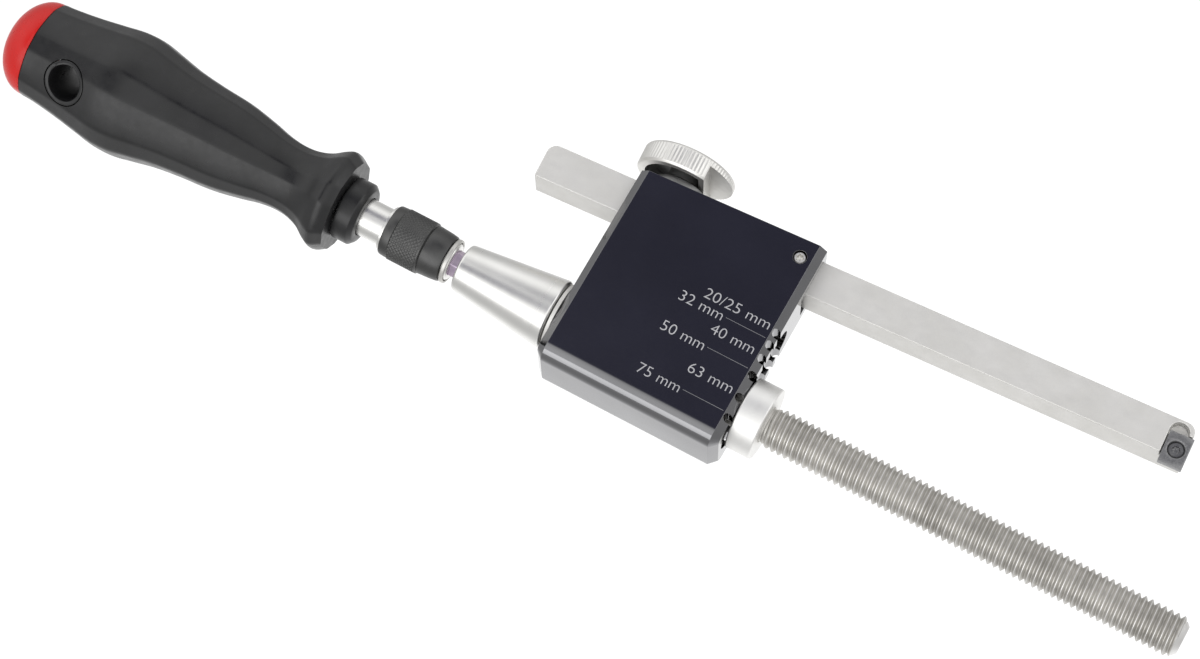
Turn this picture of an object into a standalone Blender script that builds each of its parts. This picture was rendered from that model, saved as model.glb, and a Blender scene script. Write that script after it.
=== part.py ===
"""Pipe deburring tool: a carrier block on a threaded spindle, a clamped cutter bar and a bit-holder handle.

The tool axis is world X, pointing to the spindle's tip, which is at the origin. The size scale is on the
block's top face, +Z. The cutter bar stands off towards +Y. Every x constant below is measured from the
spindle's tip. Distances along the bar are measured from the block's front face.
"""

import math

import bmesh
import bpy
from mathutils import Vector

OBJECT_NAME = "deburring_tool"
MM = 0.001

# Carrier block
BLOCK_FRONT = -120.7 * MM
BLOCK_LENGTH = 50.8 * MM
BLOCK_REAR = BLOCK_FRONT - BLOCK_LENGTH
BLOCK_HALF_HEIGHT = 10.5 * MM
BLOCK_LOW_Y = -14.1 * MM
BLOCK_HIGH_Y = 44.4 * MM
BLOCK_CHAMFER = 2.0 * MM
BLOCK_ROUND = 4.2 * MM

# Size setting: the spindle axis sits one pipe radius away from a fixed line
SET_RADIUS = 31.5 * MM
SIZE_RADII = [12.5 * MM, 16.0 * MM, 20.0 * MM, 25.0 * MM, 31.5 * MM, 37.5 * MM]
GROOVE_RADIUS = 1.2 * MM
GROOVE_DEPTH = 1.9 * MM
SLOT_HALF_HEIGHT = 4.7 * MM

# Grub screw that presses the cutter bar down, in the block's top face
GRUB_X = BLOCK_FRONT - 5.0 * MM
GRUB_Y = 39.2 * MM
GRUB_RADIUS = 1.5 * MM
GRUB_TOP = 10.1 * MM
GRUB_SOCKET_RADIUS = 0.87 * MM
GRUB_SOCKET_FLOOR = 8.3 * MM

# Cutter bar and its slot, in the bar's own frame
BAR_ANGLE = math.radians(3.38)
BAR_Y = 37.87 * MM
BAR_HALF_WIDTH = 4.9 * MM
BAR_HALF_HEIGHT = 5.1 * MM
BAR_REAR = -75.0 * MM
BAR_FRONT = 100.8 * MM
BAR_CORNER = 2.6 * MM
BAR_SLOT_LOW = -6.86 * MM
BAR_SLOT_HIGH = 5.1 * MM
BAR_SLOT_HALF_HEIGHT = 5.3 * MM
BLOCK_FACE = (BLOCK_HIGH_Y - BAR_Y) * math.cos(BAR_ANGLE)
GIB_HALF_HEIGHT = 5.0 * MM
GIB_FRONT_GAP = 6.0 * MM
GIB_REAR_GAP = 4.0 * MM

# Carbide insert on the bar's tip
INSERT_LENGTH = 6.3 * MM
INSERT_WIDTH = 8.4 * MM
INSERT_THICK = 2.4 * MM
INSERT_X = 98.15 * MM
INSERT_Y = -2.8 * MM
POCKET_FLOOR = 2.4 * MM
RELIEF_RADIUS = 2.5 * MM
INSERT_HOLE_RADIUS = 2.3 * MM
INSERT_THREAD_RADIUS = 1.5 * MM
INSERT_THREAD_FLOOR = -2.5 * MM
INSERT_HEAD_RADIUS = 2.0 * MM
INSERT_SHANK_RADIUS = 1.2 * MM
INSERT_SHANK_END = -2.0 * MM
INSERT_SOCKET_RADIUS = 1.1 * MM
INSERT_SOCKET_DEPTH = 0.9 * MM

# Thumb screw, on a line square to the bar
THUMB_X = -41.3 * MM
STUD_RADIUS = 3.0 * MM
BOSS_RADIUS = 6.8 * MM
BOSS_TOP = 9.6 * MM
KNOB_RADIUS = 12.5 * MM
KNOB_LOW = 10.0 * MM
KNOB_TOP = 16.2 * MM
KNOB_TEETH = 36
KNOB_ROUND = 1.0 * MM
KNURL_DEPTH = 0.45 * MM
KNOB_HOLLOW_RADIUS = 10.2 * MM
KNOB_HUB_RADIUS = 4.4 * MM
KNOB_DISC_LOW = 14.0 * MM
KNOB_WALL_LOW_X = 4.7 * MM
KNOB_WALL_HIGH_X = 6.15 * MM
STUD_TOP = 15.2 * MM
PAD_RADIUS = 2.8 * MM
PAD_THICK = 1.5 * MM
BOSS_BORE = STUD_RADIUS + 0.4 * MM
BOSS_SPIGOT_RADIUS = 4.5 * MM

# Spindle, collar and clamp nut
THREAD_RADIUS = 5.5 * MM
THREAD_PITCH = 1.75 * MM
THREAD_DEPTH = 0.95 * MM
THREAD_START = BLOCK_FRONT + 7.5 * MM
THREAD_STEPS = 12
THREAD_CHAMFER = 1.6 * MM
RUNOUT = 1.2 * MM
NECK_RADIUS = 4.5 * MM
STUD_END_RADIUS = 4.0 * MM
STUD_END = BLOCK_FRONT - 76.0 * MM
COLLAR_RADIUS = 9.55 * MM
NUT_FRONT = BLOCK_FRONT - 52.4 * MM
NUT_REAR = BLOCK_FRONT - 79.3 * MM
NUT_FRONT_RADIUS = 9.35 * MM
NUT_REAR_RADIUS = 6.4 * MM
NUT_CHAMFER = 0.8 * MM
WASHER_RADIUS = 8.8 * MM

# Hex drive and bit holder
HEX_FLATS = 6.35 * MM
HEX_REAR = BLOCK_FRONT - 94.5 * MM
SPIGOT_RADIUS = 2.5 * MM
SPIGOT_LENGTH = 7.5 * MM
SPIGOT_HOLE_DEPTH = 8.0 * MM
SOCKET_FLATS = 6.55 * MM
HOLDER_FRONT = BLOCK_FRONT - 81.6 * MM
HOLDER_RADIUS = 5.0 * MM
SOCKET_FLOOR = BLOCK_FRONT - 98.0 * MM
SLEEVE_FRONT = BLOCK_FRONT - 83.3 * MM
SLEEVE_REAR = BLOCK_FRONT - 100.2 * MM
SLEEVE_FRONT_RADIUS = 6.1 * MM
SLEEVE_WAIST_RADIUS = 6.6 * MM
SLEEVE_GRIP_RADIUS = 7.0 * MM
SLEEVE_GRIP_FRONT = SLEEVE_FRONT - 6.6 * MM
SLEEVE_BORE = 6.2 * MM
SLEEVE_FRONT_WALL = 2.7 * MM
FLANGE_RADIUS = 6.0 * MM
FLANGE_THICK = 1.0 * MM
BALL_X = BLOCK_FRONT - 93.0 * MM
BALL_RADIUS = 1.2 * MM
BALL_CENTRE_Z = HEX_FLATS / 2 + 0.05 * MM + BALL_RADIUS
BALL_LAND_RADIUS = 5.85 * MM
BALL_LAND_REAR = BALL_X - 2.0 * MM
BALL_LAND_FRONT = BALL_X + 1.2 * MM
RUNNING_FIT = 0.1 * MM
SNAP_RING_RADIUS = 5.95 * MM
SNAP_RING_LENGTH = 1.1 * MM
SPRING_RADIUS = 5.8 * MM
SPRING_WIRE_RADIUS = 0.22 * MM
SPRING_TURNS = 3
SPRING_STEPS = 12
MAGNET_RADIUS = 2.8 * MM
MAGNET_LENGTH = 2.7 * MM
TANG_RADIUS = 4.0 * MM
TANG_END = BLOCK_FRONT - 150.0 * MM

# Handle
FERRULE_FRONT = BLOCK_FRONT - 107.3 * MM
FERRULE_REAR = BLOCK_FRONT - 112.9 * MM
FERRULE_RADIUS = 8.35 * MM
GRIP_FRONT = BLOCK_FRONT - 113.3 * MM
GRIP_REAR = BLOCK_FRONT - 202.1 * MM
DOME_END = BLOCK_FRONT - 211.9 * MM
DOME_RADIUS = 13.0 * MM
DOME_STEPS = 6
CORE_FRONT = BLOCK_FRONT - 125.0 * MM
CORE_WIDENING = BLOCK_FRONT - 178.0 * MM
CORE_RADIUS = 6.0 * MM
CORE_REAR_RADIUS = 9.5 * MM
HANG_X = BLOCK_FRONT - 189.5 * MM
HANG_TILT = math.radians(38.7)
HANG_RADIUS = 4.5 * MM
EYELET_RADIUS = HANG_RADIUS + 1.2 * MM
EYELET_HALF_LENGTH = 15.2 * MM

# Edge breaks, overlaps and end gaps
SCREW_HEAD_SINK = 0.6 * MM
SCREW_HEAD_DROP = 0.1 * MM
SCREW_HEAD_EDGE = 0.7 * MM
BOSS_CHAMFER = 0.5 * MM
STUD_CHAMFER = 0.5 * MM
THREAD_CLEAR = 0.2 * MM
ROOT_OVERLAP = 0.4 * MM
SPINDLE_CHAMFER = 0.5 * MM
COLLAR_REAR_CHAMFER = 0.4 * MM
COLLAR_FRONT_CHAMFER = 0.8 * MM
SPIGOT_OVERLAP = 2.0 * MM
HOLDER_CHAMFER = 0.4 * MM
SNAP_REAR_CHAMFER = 0.2 * MM
SNAP_FRONT_CHAMFER = 0.3 * MM
SLEEVE_CHAMFER = 0.9 * MM
FERRULE_CHAMFER = 1.0 * MM
TANG_GAP = 2.0 * MM
EYELET_CHAMFER = 0.5 * MM

# Grip outline: distance behind the block's front face and radius, from nose to tail, in millimetres
GRIP_STATIONS = [
    (113.3, 12.2), (116.5, 13.8), (118.5, 12.9), (121.5, 10.9), (125.0, 9.6), (129.0, 9.15), (133.0, 9.5),
    (139.0, 10.9), (146.0, 12.3), (156.0, 13.2), (163.0, 14.1), (169.0, 15.4), (174.5, 16.5), (179.0, 16.5),
    (185.0, 15.5), (192.0, 14.3), (199.0, 13.4), (202.1, 13.1),
]

# Gap left between pieces that touch
FIT = 0.3 * MM
ROUND_STEPS = 32

# How far a cutter reaches past the solid it cuts
PAST = 5.0 * MM
TOLERANCE = 1e-6
WELD = 0.00001


def clear_scene():
    for item in list(bpy.data.objects):
        bpy.data.objects.remove(item, do_unlink=True)


def make_collection(name):
    collection = bpy.data.collections.new(name)
    bpy.context.scene.collection.children.link(collection)
    return collection


def make_material(name, colour, metallic, roughness):
    material = bpy.data.materials.new(name)
    material.use_nodes = True
    shader = material.node_tree.nodes["Principled BSDF"]
    shader.inputs["Base Color"].default_value = (*colour, 1.0)
    shader.inputs["Metallic"].default_value = metallic
    shader.inputs["Roughness"].default_value = roughness
    material.diffuse_color = (*colour, 1.0)
    return material


clear_scene()
PARTS = make_collection(OBJECT_NAME)
CUTTERS = make_collection("cutters")

BLACK_METAL = make_material("black_metal", (0.03, 0.03, 0.035), 0.6, 0.3)
STEEL = make_material("steel", (0.62, 0.61, 0.59), 1.0, 0.3)
TURNED_STEEL = make_material("turned_steel", (0.75, 0.75, 0.74), 1.0, 0.18)
NICKEL = make_material("nickel", (0.78, 0.77, 0.74), 1.0, 0.25)
DARK_STEEL = make_material("dark_steel", (0.12, 0.12, 0.13), 0.9, 0.35)
CARBIDE = make_material("carbide", (0.28, 0.28, 0.28), 0.8, 0.45)
BRASS = make_material("brass", (0.72, 0.55, 0.25), 1.0, 0.3)
BLACK_PLASTIC = make_material("black_plastic", (0.015, 0.015, 0.016), 0.0, 0.45)
RED_PLASTIC = make_material("red_plastic", (0.55, 0.02, 0.02), 0.0, 0.2)
SPRING_STEEL = make_material("spring_steel", (0.5, 0.5, 0.5), 1.0, 0.3)


def keep(name, mesh, material, smooth=True):
    """A named sub-part made from a mesh."""
    thing = bpy.data.objects.new(name, mesh)
    mesh.materials.clear()
    mesh.materials.append(material)
    if smooth:
        mesh.shade_smooth()
        mesh.set_sharp_from_angle(angle=math.radians(30))
    PARTS.objects.link(thing)
    return thing


def as_cutter(thing):
    for collection in list(thing.users_collection):
        collection.objects.unlink(thing)
    CUTTERS.objects.link(thing)
    thing.hide_render = True
    thing.display_type = "WIRE"
    return thing


def cut(target, cutter, operation="DIFFERENCE"):
    modifier = target.modifiers.new(cutter.name, "BOOLEAN")
    modifier.operation = operation
    modifier.solver = "EXACT"
    modifier.object = as_cutter(cutter)


def box_mesh(name, low, high):
    mesh = bpy.data.meshes.new(name)
    shape = bmesh.new()
    bmesh.ops.create_cube(shape, size=1.0)
    low = Vector(low)
    high = Vector(high)
    for corner in shape.verts:
        corner.co = Vector(a + (b - a) * (c + 0.5) for a, b, c in zip(low, high, corner.co))
    shape.to_mesh(mesh)
    shape.free()
    return mesh


def box(name, low, high, material=STEEL):
    return keep(name, box_mesh(name, low, high), material, smooth=False)


def rod_mesh(name, radius, low, high, segments=ROUND_STEPS):
    """A round or six-sided rod along local Z."""
    mesh = bpy.data.meshes.new(name)
    shape = bmesh.new()
    bmesh.ops.create_cone(
        shape, cap_ends=True, segments=segments, radius1=radius, radius2=radius, depth=high - low
    )
    bmesh.ops.translate(shape, verts=shape.verts, vec=(0, 0, (low + high) / 2))
    shape.to_mesh(mesh)
    shape.free()
    return mesh


def turned(name, outline, material, closed=True, steps=ROUND_STEPS):
    """Spin (radius, height) points about local Z; the outline runs down its outer side first."""
    mesh = bpy.data.meshes.new(name)
    points = [(radius, 0.0, height) for radius, height in outline]
    edges = [(i, i + 1) for i in range(len(points) - 1)]
    if closed:
        edges.append((len(points) - 1, 0))
    mesh.from_pydata(points, edges, [])
    thing = keep(name, mesh, material, smooth=False)
    screw = thing.modifiers.new("Turn", "SCREW")
    screw.axis = "Z"
    screw.steps = steps
    screw.render_steps = steps
    screw.use_merge_vertices = True
    screw.merge_threshold = WELD
    screw.use_smooth_shade = True
    return thing


def along_x(thing, x=0.0):
    """Stand a piece made along local Z on the tool axis, with local Z pointing along +X."""
    thing.rotation_euler = (0.0, math.pi / 2, 0.0)
    thing.location = (x, 0.0, 0.0)
    return thing


def ring_outline(radius, bore, low, high, chamfer_low=0.0, chamfer_high=0.0):
    outline = [(bore, high)]
    if chamfer_high:
        outline += [(radius - chamfer_high, high), (radius, high - chamfer_high)]
    else:
        outline += [(radius, high)]
    if chamfer_low:
        outline += [(radius, low + chamfer_low), (radius - chamfer_low, low)]
    else:
        outline += [(radius, low)]
    return outline + [(bore, low)]


def make_empty(name, location, angle=0.0, parent=None):
    empty = bpy.data.objects.new(name, None)
    empty.location = location
    empty.rotation_euler = (0.0, 0.0, angle)
    empty.parent = parent
    PARTS.objects.link(empty)
    return empty


BAR_FRAME = make_empty("bar_frame", (BLOCK_FRONT, BAR_Y, 0.0), BAR_ANGLE)
THUMB_AXIS = make_empty("thumb_axis", (THUMB_X, 0.0, 0.0), parent=BAR_FRAME)


def in_bar_frame(thing):
    thing.parent = BAR_FRAME
    return thing


def on_thumb_axis(thing):
    """Stand a piece made along local Z on the thumb screw's axis, pointing away from the block."""
    thing.parent = THUMB_AXIS
    thing.rotation_euler = (-math.pi / 2, 0.0, 0.0)
    return thing


def upright_rod(name, radius, x, y, low, high, segments=24):
    thing = keep(name, rod_mesh(name, radius, low, high, segments), STEEL)
    thing.location = (x, y, 0.0)
    return thing


# --- Carrier block ----------------------------------------------------------------------------------------


def block_blank():
    """The block's outer shape: one slanted side, two rounded long edges and bevelled ends."""
    mesh = box_mesh(
        "carrier_block",
        (BLOCK_REAR, BLOCK_LOW_Y, -BLOCK_HALF_HEIGHT),
        (BLOCK_FRONT, BLOCK_HIGH_Y, BLOCK_HALF_HEIGHT),
    )
    shape = bmesh.new()
    shape.from_mesh(mesh)
    slant = BLOCK_LENGTH * math.tan(BAR_ANGLE)
    for corner in shape.verts:
        if corner.co.y > 0 and corner.co.x < BLOCK_FRONT - BLOCK_LENGTH / 2:
            corner.co.y -= slant
    long_edges = [
        edge
        for edge in shape.edges
        if all(abs(corner.co.y - BLOCK_LOW_Y) < TOLERANCE for corner in edge.verts)
        and abs(edge.verts[0].co.x - edge.verts[1].co.x) > BLOCK_LENGTH / 2
    ]
    bmesh.ops.bevel(
        shape, geom=long_edges, offset=BLOCK_ROUND, offset_type="OFFSET", segments=5, profile=0.5,
        affect="EDGES"
    )
    end_edges = [
        edge
        for edge in shape.edges
        if abs(edge.verts[0].co.x - edge.verts[1].co.x) < TOLERANCE
        and min(corner.co.y for corner in edge.verts) < BLOCK_LOW_Y + BLOCK_ROUND + 10 * TOLERANCE
    ]
    bmesh.ops.bevel(
        shape, geom=end_edges, offset=BLOCK_CHAMFER, offset_type="OFFSET", segments=1, profile=0.5,
        affect="EDGES", clamp_overlap=False
    )
    shape.to_mesh(mesh)
    shape.free()
    return keep("carrier_block", mesh, BLACK_METAL)


def spindle_slot():
    """Cutter for the long hole in which the spindle's neck moves across the block."""
    low = SET_RADIUS - SIZE_RADII[-1]
    high = SET_RADIUS - SIZE_RADII[0]
    mesh = rod_mesh("slot_end", SLOT_HALF_HEIGHT, BLOCK_REAR - PAST, BLOCK_FRONT + PAST, segments=24)
    shape = bmesh.new()
    shape.from_mesh(mesh)
    for corner in shape.verts:
        if corner.co.y > TOLERANCE:
            corner.co.y += high - low
    shape.to_mesh(mesh)
    shape.free()
    slot = keep("spindle_slot", mesh, STEEL)
    along_x(slot)
    slot.location.y = low
    return slot


def carrier_block():
    block = block_blank()
    cut(block, spindle_slot())
    bar_slot = box(
        "bar_slot",
        (-BLOCK_LENGTH - PAST, BAR_SLOT_LOW, -BAR_SLOT_HALF_HEIGHT),
        (PAST, BAR_SLOT_HIGH, BAR_SLOT_HALF_HEIGHT),
    )
    cut(block, in_bar_frame(bar_slot))
    thumb_hole = rod_mesh("thumb_hole", BOSS_SPIGOT_RADIUS + FIT, BAR_HALF_WIDTH - FIT, BLOCK_FACE + PAST)
    cut(block, on_thumb_axis(keep("thumb_hole", thumb_hole, STEEL)))
    grub_hole = upright_rod(
        "grub_hole", GRUB_RADIUS + FIT, GRUB_X, GRUB_Y, BAR_HALF_HEIGHT - FIT, BLOCK_HALF_HEIGHT + PAST
    )
    cut(block, grub_hole)
    for index, radius in enumerate(SIZE_RADII):
        groove = upright_rod(
            "size_groove_%d" % (index + 1),
            GROOVE_RADIUS,
            BLOCK_FRONT - GROOVE_DEPTH + GROOVE_RADIUS,
            SET_RADIUS - radius,
            -BLOCK_HALF_HEIGHT - PAST,
            BLOCK_HALF_HEIGHT + PAST,
            segments=12,
        )
        cut(block, groove)
    return block


def grub_screw():
    screw = upright_rod("grub_screw", GRUB_RADIUS, GRUB_X, GRUB_Y, BAR_HALF_HEIGHT + FIT, GRUB_TOP)
    screw.data.materials[0] = NICKEL
    socket = upright_rod(
        "grub_socket", GRUB_SOCKET_RADIUS, GRUB_X, GRUB_Y, GRUB_SOCKET_FLOOR, GRUB_TOP + PAST, segments=6
    )
    cut(screw, socket)
    return screw


def gib_strip():
    strip = box(
        "gib_strip",
        (-BLOCK_LENGTH + GIB_REAR_GAP, BAR_SLOT_LOW + FIT, -GIB_HALF_HEIGHT),
        (-GIB_FRONT_GAP, -BAR_HALF_WIDTH - FIT, GIB_HALF_HEIGHT),
        DARK_STEEL,
    )
    return in_bar_frame(strip)


# --- Cutter bar -------------------------------------------------------------------------------------------


def cutter_bar():
    mesh = box_mesh(
        "cutter_bar",
        (BAR_REAR, -BAR_HALF_WIDTH, -BAR_HALF_HEIGHT),
        (BAR_FRONT, BAR_HALF_WIDTH, BAR_HALF_HEIGHT),
    )
    shape = bmesh.new()
    shape.from_mesh(mesh)
    corners = [
        edge
        for edge in shape.edges
        if all(corner.co.y > 0 for corner in edge.verts)
        and abs(edge.verts[0].co.z - edge.verts[1].co.z) > BAR_HALF_HEIGHT
    ]
    bmesh.ops.bevel(
        shape, geom=corners, offset=BAR_CORNER, offset_type="OFFSET", segments=5, profile=0.5, affect="EDGES"
    )
    shape.to_mesh(mesh)
    shape.free()
    bar = in_bar_frame(keep("cutter_bar", mesh, STEEL))
    pocket_rear = INSERT_X - INSERT_LENGTH / 2 - FIT
    pocket_side = INSERT_Y + INSERT_WIDTH / 2 + FIT
    pocket = box(
        "insert_pocket",
        (pocket_rear, -BAR_HALF_WIDTH - PAST, POCKET_FLOOR),
        (BAR_FRONT + PAST, pocket_side, BAR_HALF_HEIGHT + PAST),
    )
    cut(bar, in_bar_frame(pocket))
    relief_x = pocket_rear + RELIEF_RADIUS
    relief_top = BAR_HALF_HEIGHT + PAST
    relief = upright_rod("pocket_relief", RELIEF_RADIUS, relief_x, pocket_side, POCKET_FLOOR, relief_top)
    cut(bar, in_bar_frame(relief))
    screw_hole = upright_rod(
        "insert_thread", INSERT_THREAD_RADIUS, INSERT_X, INSERT_Y, INSERT_THREAD_FLOOR, POCKET_FLOOR + FIT
    )
    cut(bar, in_bar_frame(screw_hole))
    return bar


def carbide_insert():
    half_length = INSERT_LENGTH / 2
    half_width = INSERT_WIDTH / 2
    floor = POCKET_FLOOR + FIT
    plate = box(
        "carbide_insert",
        (INSERT_X - half_length, INSERT_Y - half_width, floor),
        (INSERT_X + half_length, INSERT_Y + half_width, floor + INSERT_THICK),
        CARBIDE,
    )
    hole_top = floor + INSERT_THICK + PAST
    hole = upright_rod("insert_hole", INSERT_HOLE_RADIUS, INSERT_X, INSERT_Y, 0.0, hole_top)
    cut(plate, in_bar_frame(hole))
    return in_bar_frame(plate)


def insert_screw():
    head_low = POCKET_FLOOR + FIT + SCREW_HEAD_SINK
    head_high = POCKET_FLOOR + INSERT_THICK - SCREW_HEAD_DROP
    outline = [
        (0.0, head_high),
        (INSERT_HEAD_RADIUS, head_high),
        (INSERT_HEAD_RADIUS, head_low + SCREW_HEAD_EDGE),
        (INSERT_SHANK_RADIUS, head_low),
        (INSERT_SHANK_RADIUS, INSERT_SHANK_END),
        (0.0, INSERT_SHANK_END),
    ]
    screw = turned("insert_screw", outline, DARK_STEEL, closed=False, steps=24)
    screw.location = (INSERT_X, INSERT_Y, 0.0)
    socket_floor = head_high - INSERT_SOCKET_DEPTH
    socket = upright_rod(
        "insert_socket", INSERT_SOCKET_RADIUS, INSERT_X, INSERT_Y, socket_floor, head_high + PAST, segments=6
    )
    cut(screw, in_bar_frame(socket))
    return in_bar_frame(screw)


# --- Thumb screw ------------------------------------------------------------------------------------------


def clamp_boss():
    outline = [
        (BOSS_BORE, BOSS_TOP),
        (BOSS_RADIUS - BOSS_CHAMFER, BOSS_TOP),
        (BOSS_RADIUS, BOSS_TOP - BOSS_CHAMFER),
        (BOSS_RADIUS, BLOCK_FACE + FIT),
        (BOSS_SPIGOT_RADIUS, BLOCK_FACE + FIT),
        (BOSS_SPIGOT_RADIUS, BAR_SLOT_HIGH + FIT),
        (BOSS_BORE, BAR_SLOT_HIGH + FIT),
    ]
    return on_thumb_axis(turned("clamp_boss", outline, BLACK_METAL))


def pressure_pad():
    low = BAR_HALF_WIDTH + FIT
    outline = [(0.0, low + PAD_THICK), (PAD_RADIUS, low + PAD_THICK), (PAD_RADIUS, low), (0.0, low)]
    return on_thumb_axis(turned("pressure_pad", outline, BRASS, closed=False, steps=20))


def thumb_stud():
    low = BAR_HALF_WIDTH + 2 * FIT + PAD_THICK
    chamfer = STUD_CHAMFER
    outline = [
        (0.0, STUD_TOP),
        (STUD_RADIUS, STUD_TOP),
        (STUD_RADIUS, low + chamfer),
        (STUD_RADIUS - chamfer, low),
        (0.0, low),
    ]
    return on_thumb_axis(turned("thumb_stud", outline, STEEL, closed=False, steps=20))


def knob_hollow():
    """Cutter for the cavity round the knob's hub, flat on the side of the chord wall."""
    low = KNOB_LOW - PAST
    outline = [
        (KNOB_HUB_RADIUS, KNOB_DISC_LOW),
        (KNOB_HOLLOW_RADIUS, KNOB_DISC_LOW),
        (KNOB_HOLLOW_RADIUS, low),
        (KNOB_HUB_RADIUS, low),
    ]
    hollow = turned("knob_hollow", outline, STEEL)
    beyond_wall = box(
        "hollow_trim",
        (KNOB_WALL_LOW_X, -KNOB_RADIUS - PAST, low - PAST),
        (KNOB_RADIUS + PAST, KNOB_RADIUS + PAST, KNOB_DISC_LOW + PAST),
    )
    cut(hollow, on_thumb_axis(beyond_wall))
    return on_thumb_axis(hollow)


def thumb_knob():
    """Knurled hollow knob: a chord wall closes its cavity, and past the wall only the top disc is left."""
    mesh = rod_mesh("thumb_knob", KNOB_RADIUS, KNOB_LOW, KNOB_TOP, segments=2 * KNOB_TEETH)
    shape = bmesh.new()
    shape.from_mesh(mesh)
    top_edges = [
        edge for edge in shape.edges if all(abs(corner.co.z - KNOB_TOP) < TOLERANCE for corner in edge.verts)
    ]
    bmesh.ops.bevel(shape, geom=top_edges, offset=KNOB_ROUND, segments=2, profile=0.5, affect="EDGES")
    valley = 1 - KNURL_DEPTH / KNOB_RADIUS
    for corner in shape.verts:
        sector = round(math.atan2(corner.co.y, corner.co.x) / (math.pi / KNOB_TEETH))
        if sector % 2 and corner.co.z < KNOB_TOP - KNOB_ROUND / 2:
            corner.co.x *= valley
            corner.co.y *= valley
    shape.to_mesh(mesh)
    shape.free()
    knob = on_thumb_axis(keep("thumb_knob", mesh, NICKEL))
    cut(knob, knob_hollow())
    cutaway = box(
        "knob_cutaway",
        (KNOB_WALL_HIGH_X, -KNOB_RADIUS - PAST, KNOB_LOW - PAST),
        (KNOB_RADIUS + PAST, KNOB_RADIUS + PAST, KNOB_DISC_LOW),
    )
    cut(knob, on_thumb_axis(cutaway))
    bore = rod_mesh("knob_bore", STUD_RADIUS + FIT, KNOB_LOW - PAST, STUD_TOP + FIT, segments=20)
    cut(knob, on_thumb_axis(keep("knob_bore", bore, STEEL)))
    return knob


# --- Spindle ----------------------------------------------------------------------------------------------


def thread_blank():
    """A screw thread longer than needed at both ends, closed by a cap in the waste."""
    turns = int((-THREAD_START) / THREAD_PITCH) + 4
    start = THREAD_START - 2 * THREAD_PITCH
    mesh = bpy.data.meshes.new("thread_ridge")
    root = THREAD_RADIUS - THREAD_DEPTH
    points = [(root, 0, THREAD_PITCH), (THREAD_RADIUS, 0, THREAD_PITCH / 2), (root, 0, 0)]
    mesh.from_pydata(points, [(0, 1), (1, 2)], [])
    ridge = keep("thread_ridge", mesh, STEEL, smooth=False)
    screw = ridge.modifiers.new("Turn", "SCREW")
    screw.axis = "Z"
    screw.steps = THREAD_STEPS
    screw.render_steps = THREAD_STEPS
    screw.screw_offset = THREAD_PITCH
    screw.iterations = turns
    weld = ridge.modifiers.new("Weld", "WELD")
    weld.merge_threshold = WELD
    bpy.context.view_layer.update()
    depsgraph = bpy.context.evaluated_depsgraph_get()
    swept = bpy.data.meshes.new_from_object(ridge.evaluated_get(depsgraph))
    bpy.data.objects.remove(ridge, do_unlink=True)
    shape = bmesh.new()
    shape.from_mesh(swept)
    open_edges = [edge for edge in shape.edges if edge.is_boundary]
    bmesh.ops.holes_fill(shape, edges=open_edges, sides=0)
    bmesh.ops.triangulate(shape, faces=[face for face in shape.faces if len(face.verts) > 4])
    bmesh.ops.recalc_face_normals(shape, faces=shape.faces)
    shape.to_mesh(swept)
    shape.free()
    swept.name = "threaded_spindle"
    return along_x(keep("threaded_spindle", swept, STEEL), start)


def threaded_spindle():
    spindle = thread_blank()
    clear = THREAD_RADIUS + THREAD_CLEAR
    envelope = [
        (0.0, 0.0),
        (THREAD_RADIUS - THREAD_CHAMFER, 0.0),
        (clear, THREAD_RADIUS - THREAD_CHAMFER - clear),
        (clear, THREAD_START + RUNOUT),
        (THREAD_RADIUS - RUNOUT, THREAD_START),
        (0.0, THREAD_START),
    ]
    cut(spindle, along_x(turned("thread_envelope", envelope, STEEL, closed=False)), "INTERSECT")
    inside_root = NECK_RADIUS - ROOT_OVERLAP
    inside_front = THREAD_START + 2 * THREAD_PITCH
    chamfer = SPINDLE_CHAMFER
    hole_floor = STUD_END + SPIGOT_HOLE_DEPTH
    neck = [
        (0.0, inside_front),
        (inside_root, inside_front),
        (inside_root, THREAD_START + chamfer),
        (NECK_RADIUS, THREAD_START),
        (NECK_RADIUS, NUT_FRONT + 2 * chamfer),
        (STUD_END_RADIUS, NUT_FRONT + chamfer),
        (STUD_END_RADIUS, STUD_END + chamfer),
        (STUD_END_RADIUS - chamfer, STUD_END),
        (SPIGOT_RADIUS + FIT, STUD_END),
        (SPIGOT_RADIUS + FIT, hole_floor),
        (0.0, hole_floor),
    ]
    cut(spindle, along_x(turned("spindle_neck", neck, STEEL, closed=False)), "UNION")
    return spindle


def front_collar():
    low = BLOCK_FRONT + FIT
    outline = ring_outline(
        COLLAR_RADIUS, NECK_RADIUS + FIT, low, THREAD_START - FIT, COLLAR_REAR_CHAMFER, COLLAR_FRONT_CHAMFER
    )
    return along_x(turned("front_collar", outline, TURNED_STEEL))


def thrust_washer():
    outline = ring_outline(WASHER_RADIUS, NECK_RADIUS + FIT, NUT_FRONT + FIT, BLOCK_REAR - FIT)
    return along_x(turned("thrust_washer", outline, STEEL))


def cone_nut():
    bore = STUD_END_RADIUS + FIT
    outline = [
        (bore, NUT_FRONT),
        (NUT_FRONT_RADIUS - NUT_CHAMFER, NUT_FRONT),
        (NUT_FRONT_RADIUS, NUT_FRONT - NUT_CHAMFER),
        (NUT_REAR_RADIUS, NUT_REAR + NUT_CHAMFER),
        (NUT_REAR_RADIUS - NUT_CHAMFER, NUT_REAR),
        (bore, NUT_REAR),
    ]
    return along_x(turned("cone_nut", outline, TURNED_STEEL))


def hex_rod(name, flats, low, high, material):
    mesh = rod_mesh(name, flats / math.sqrt(3), low, high, segments=6)
    return along_x(keep(name, mesh, material))


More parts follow.
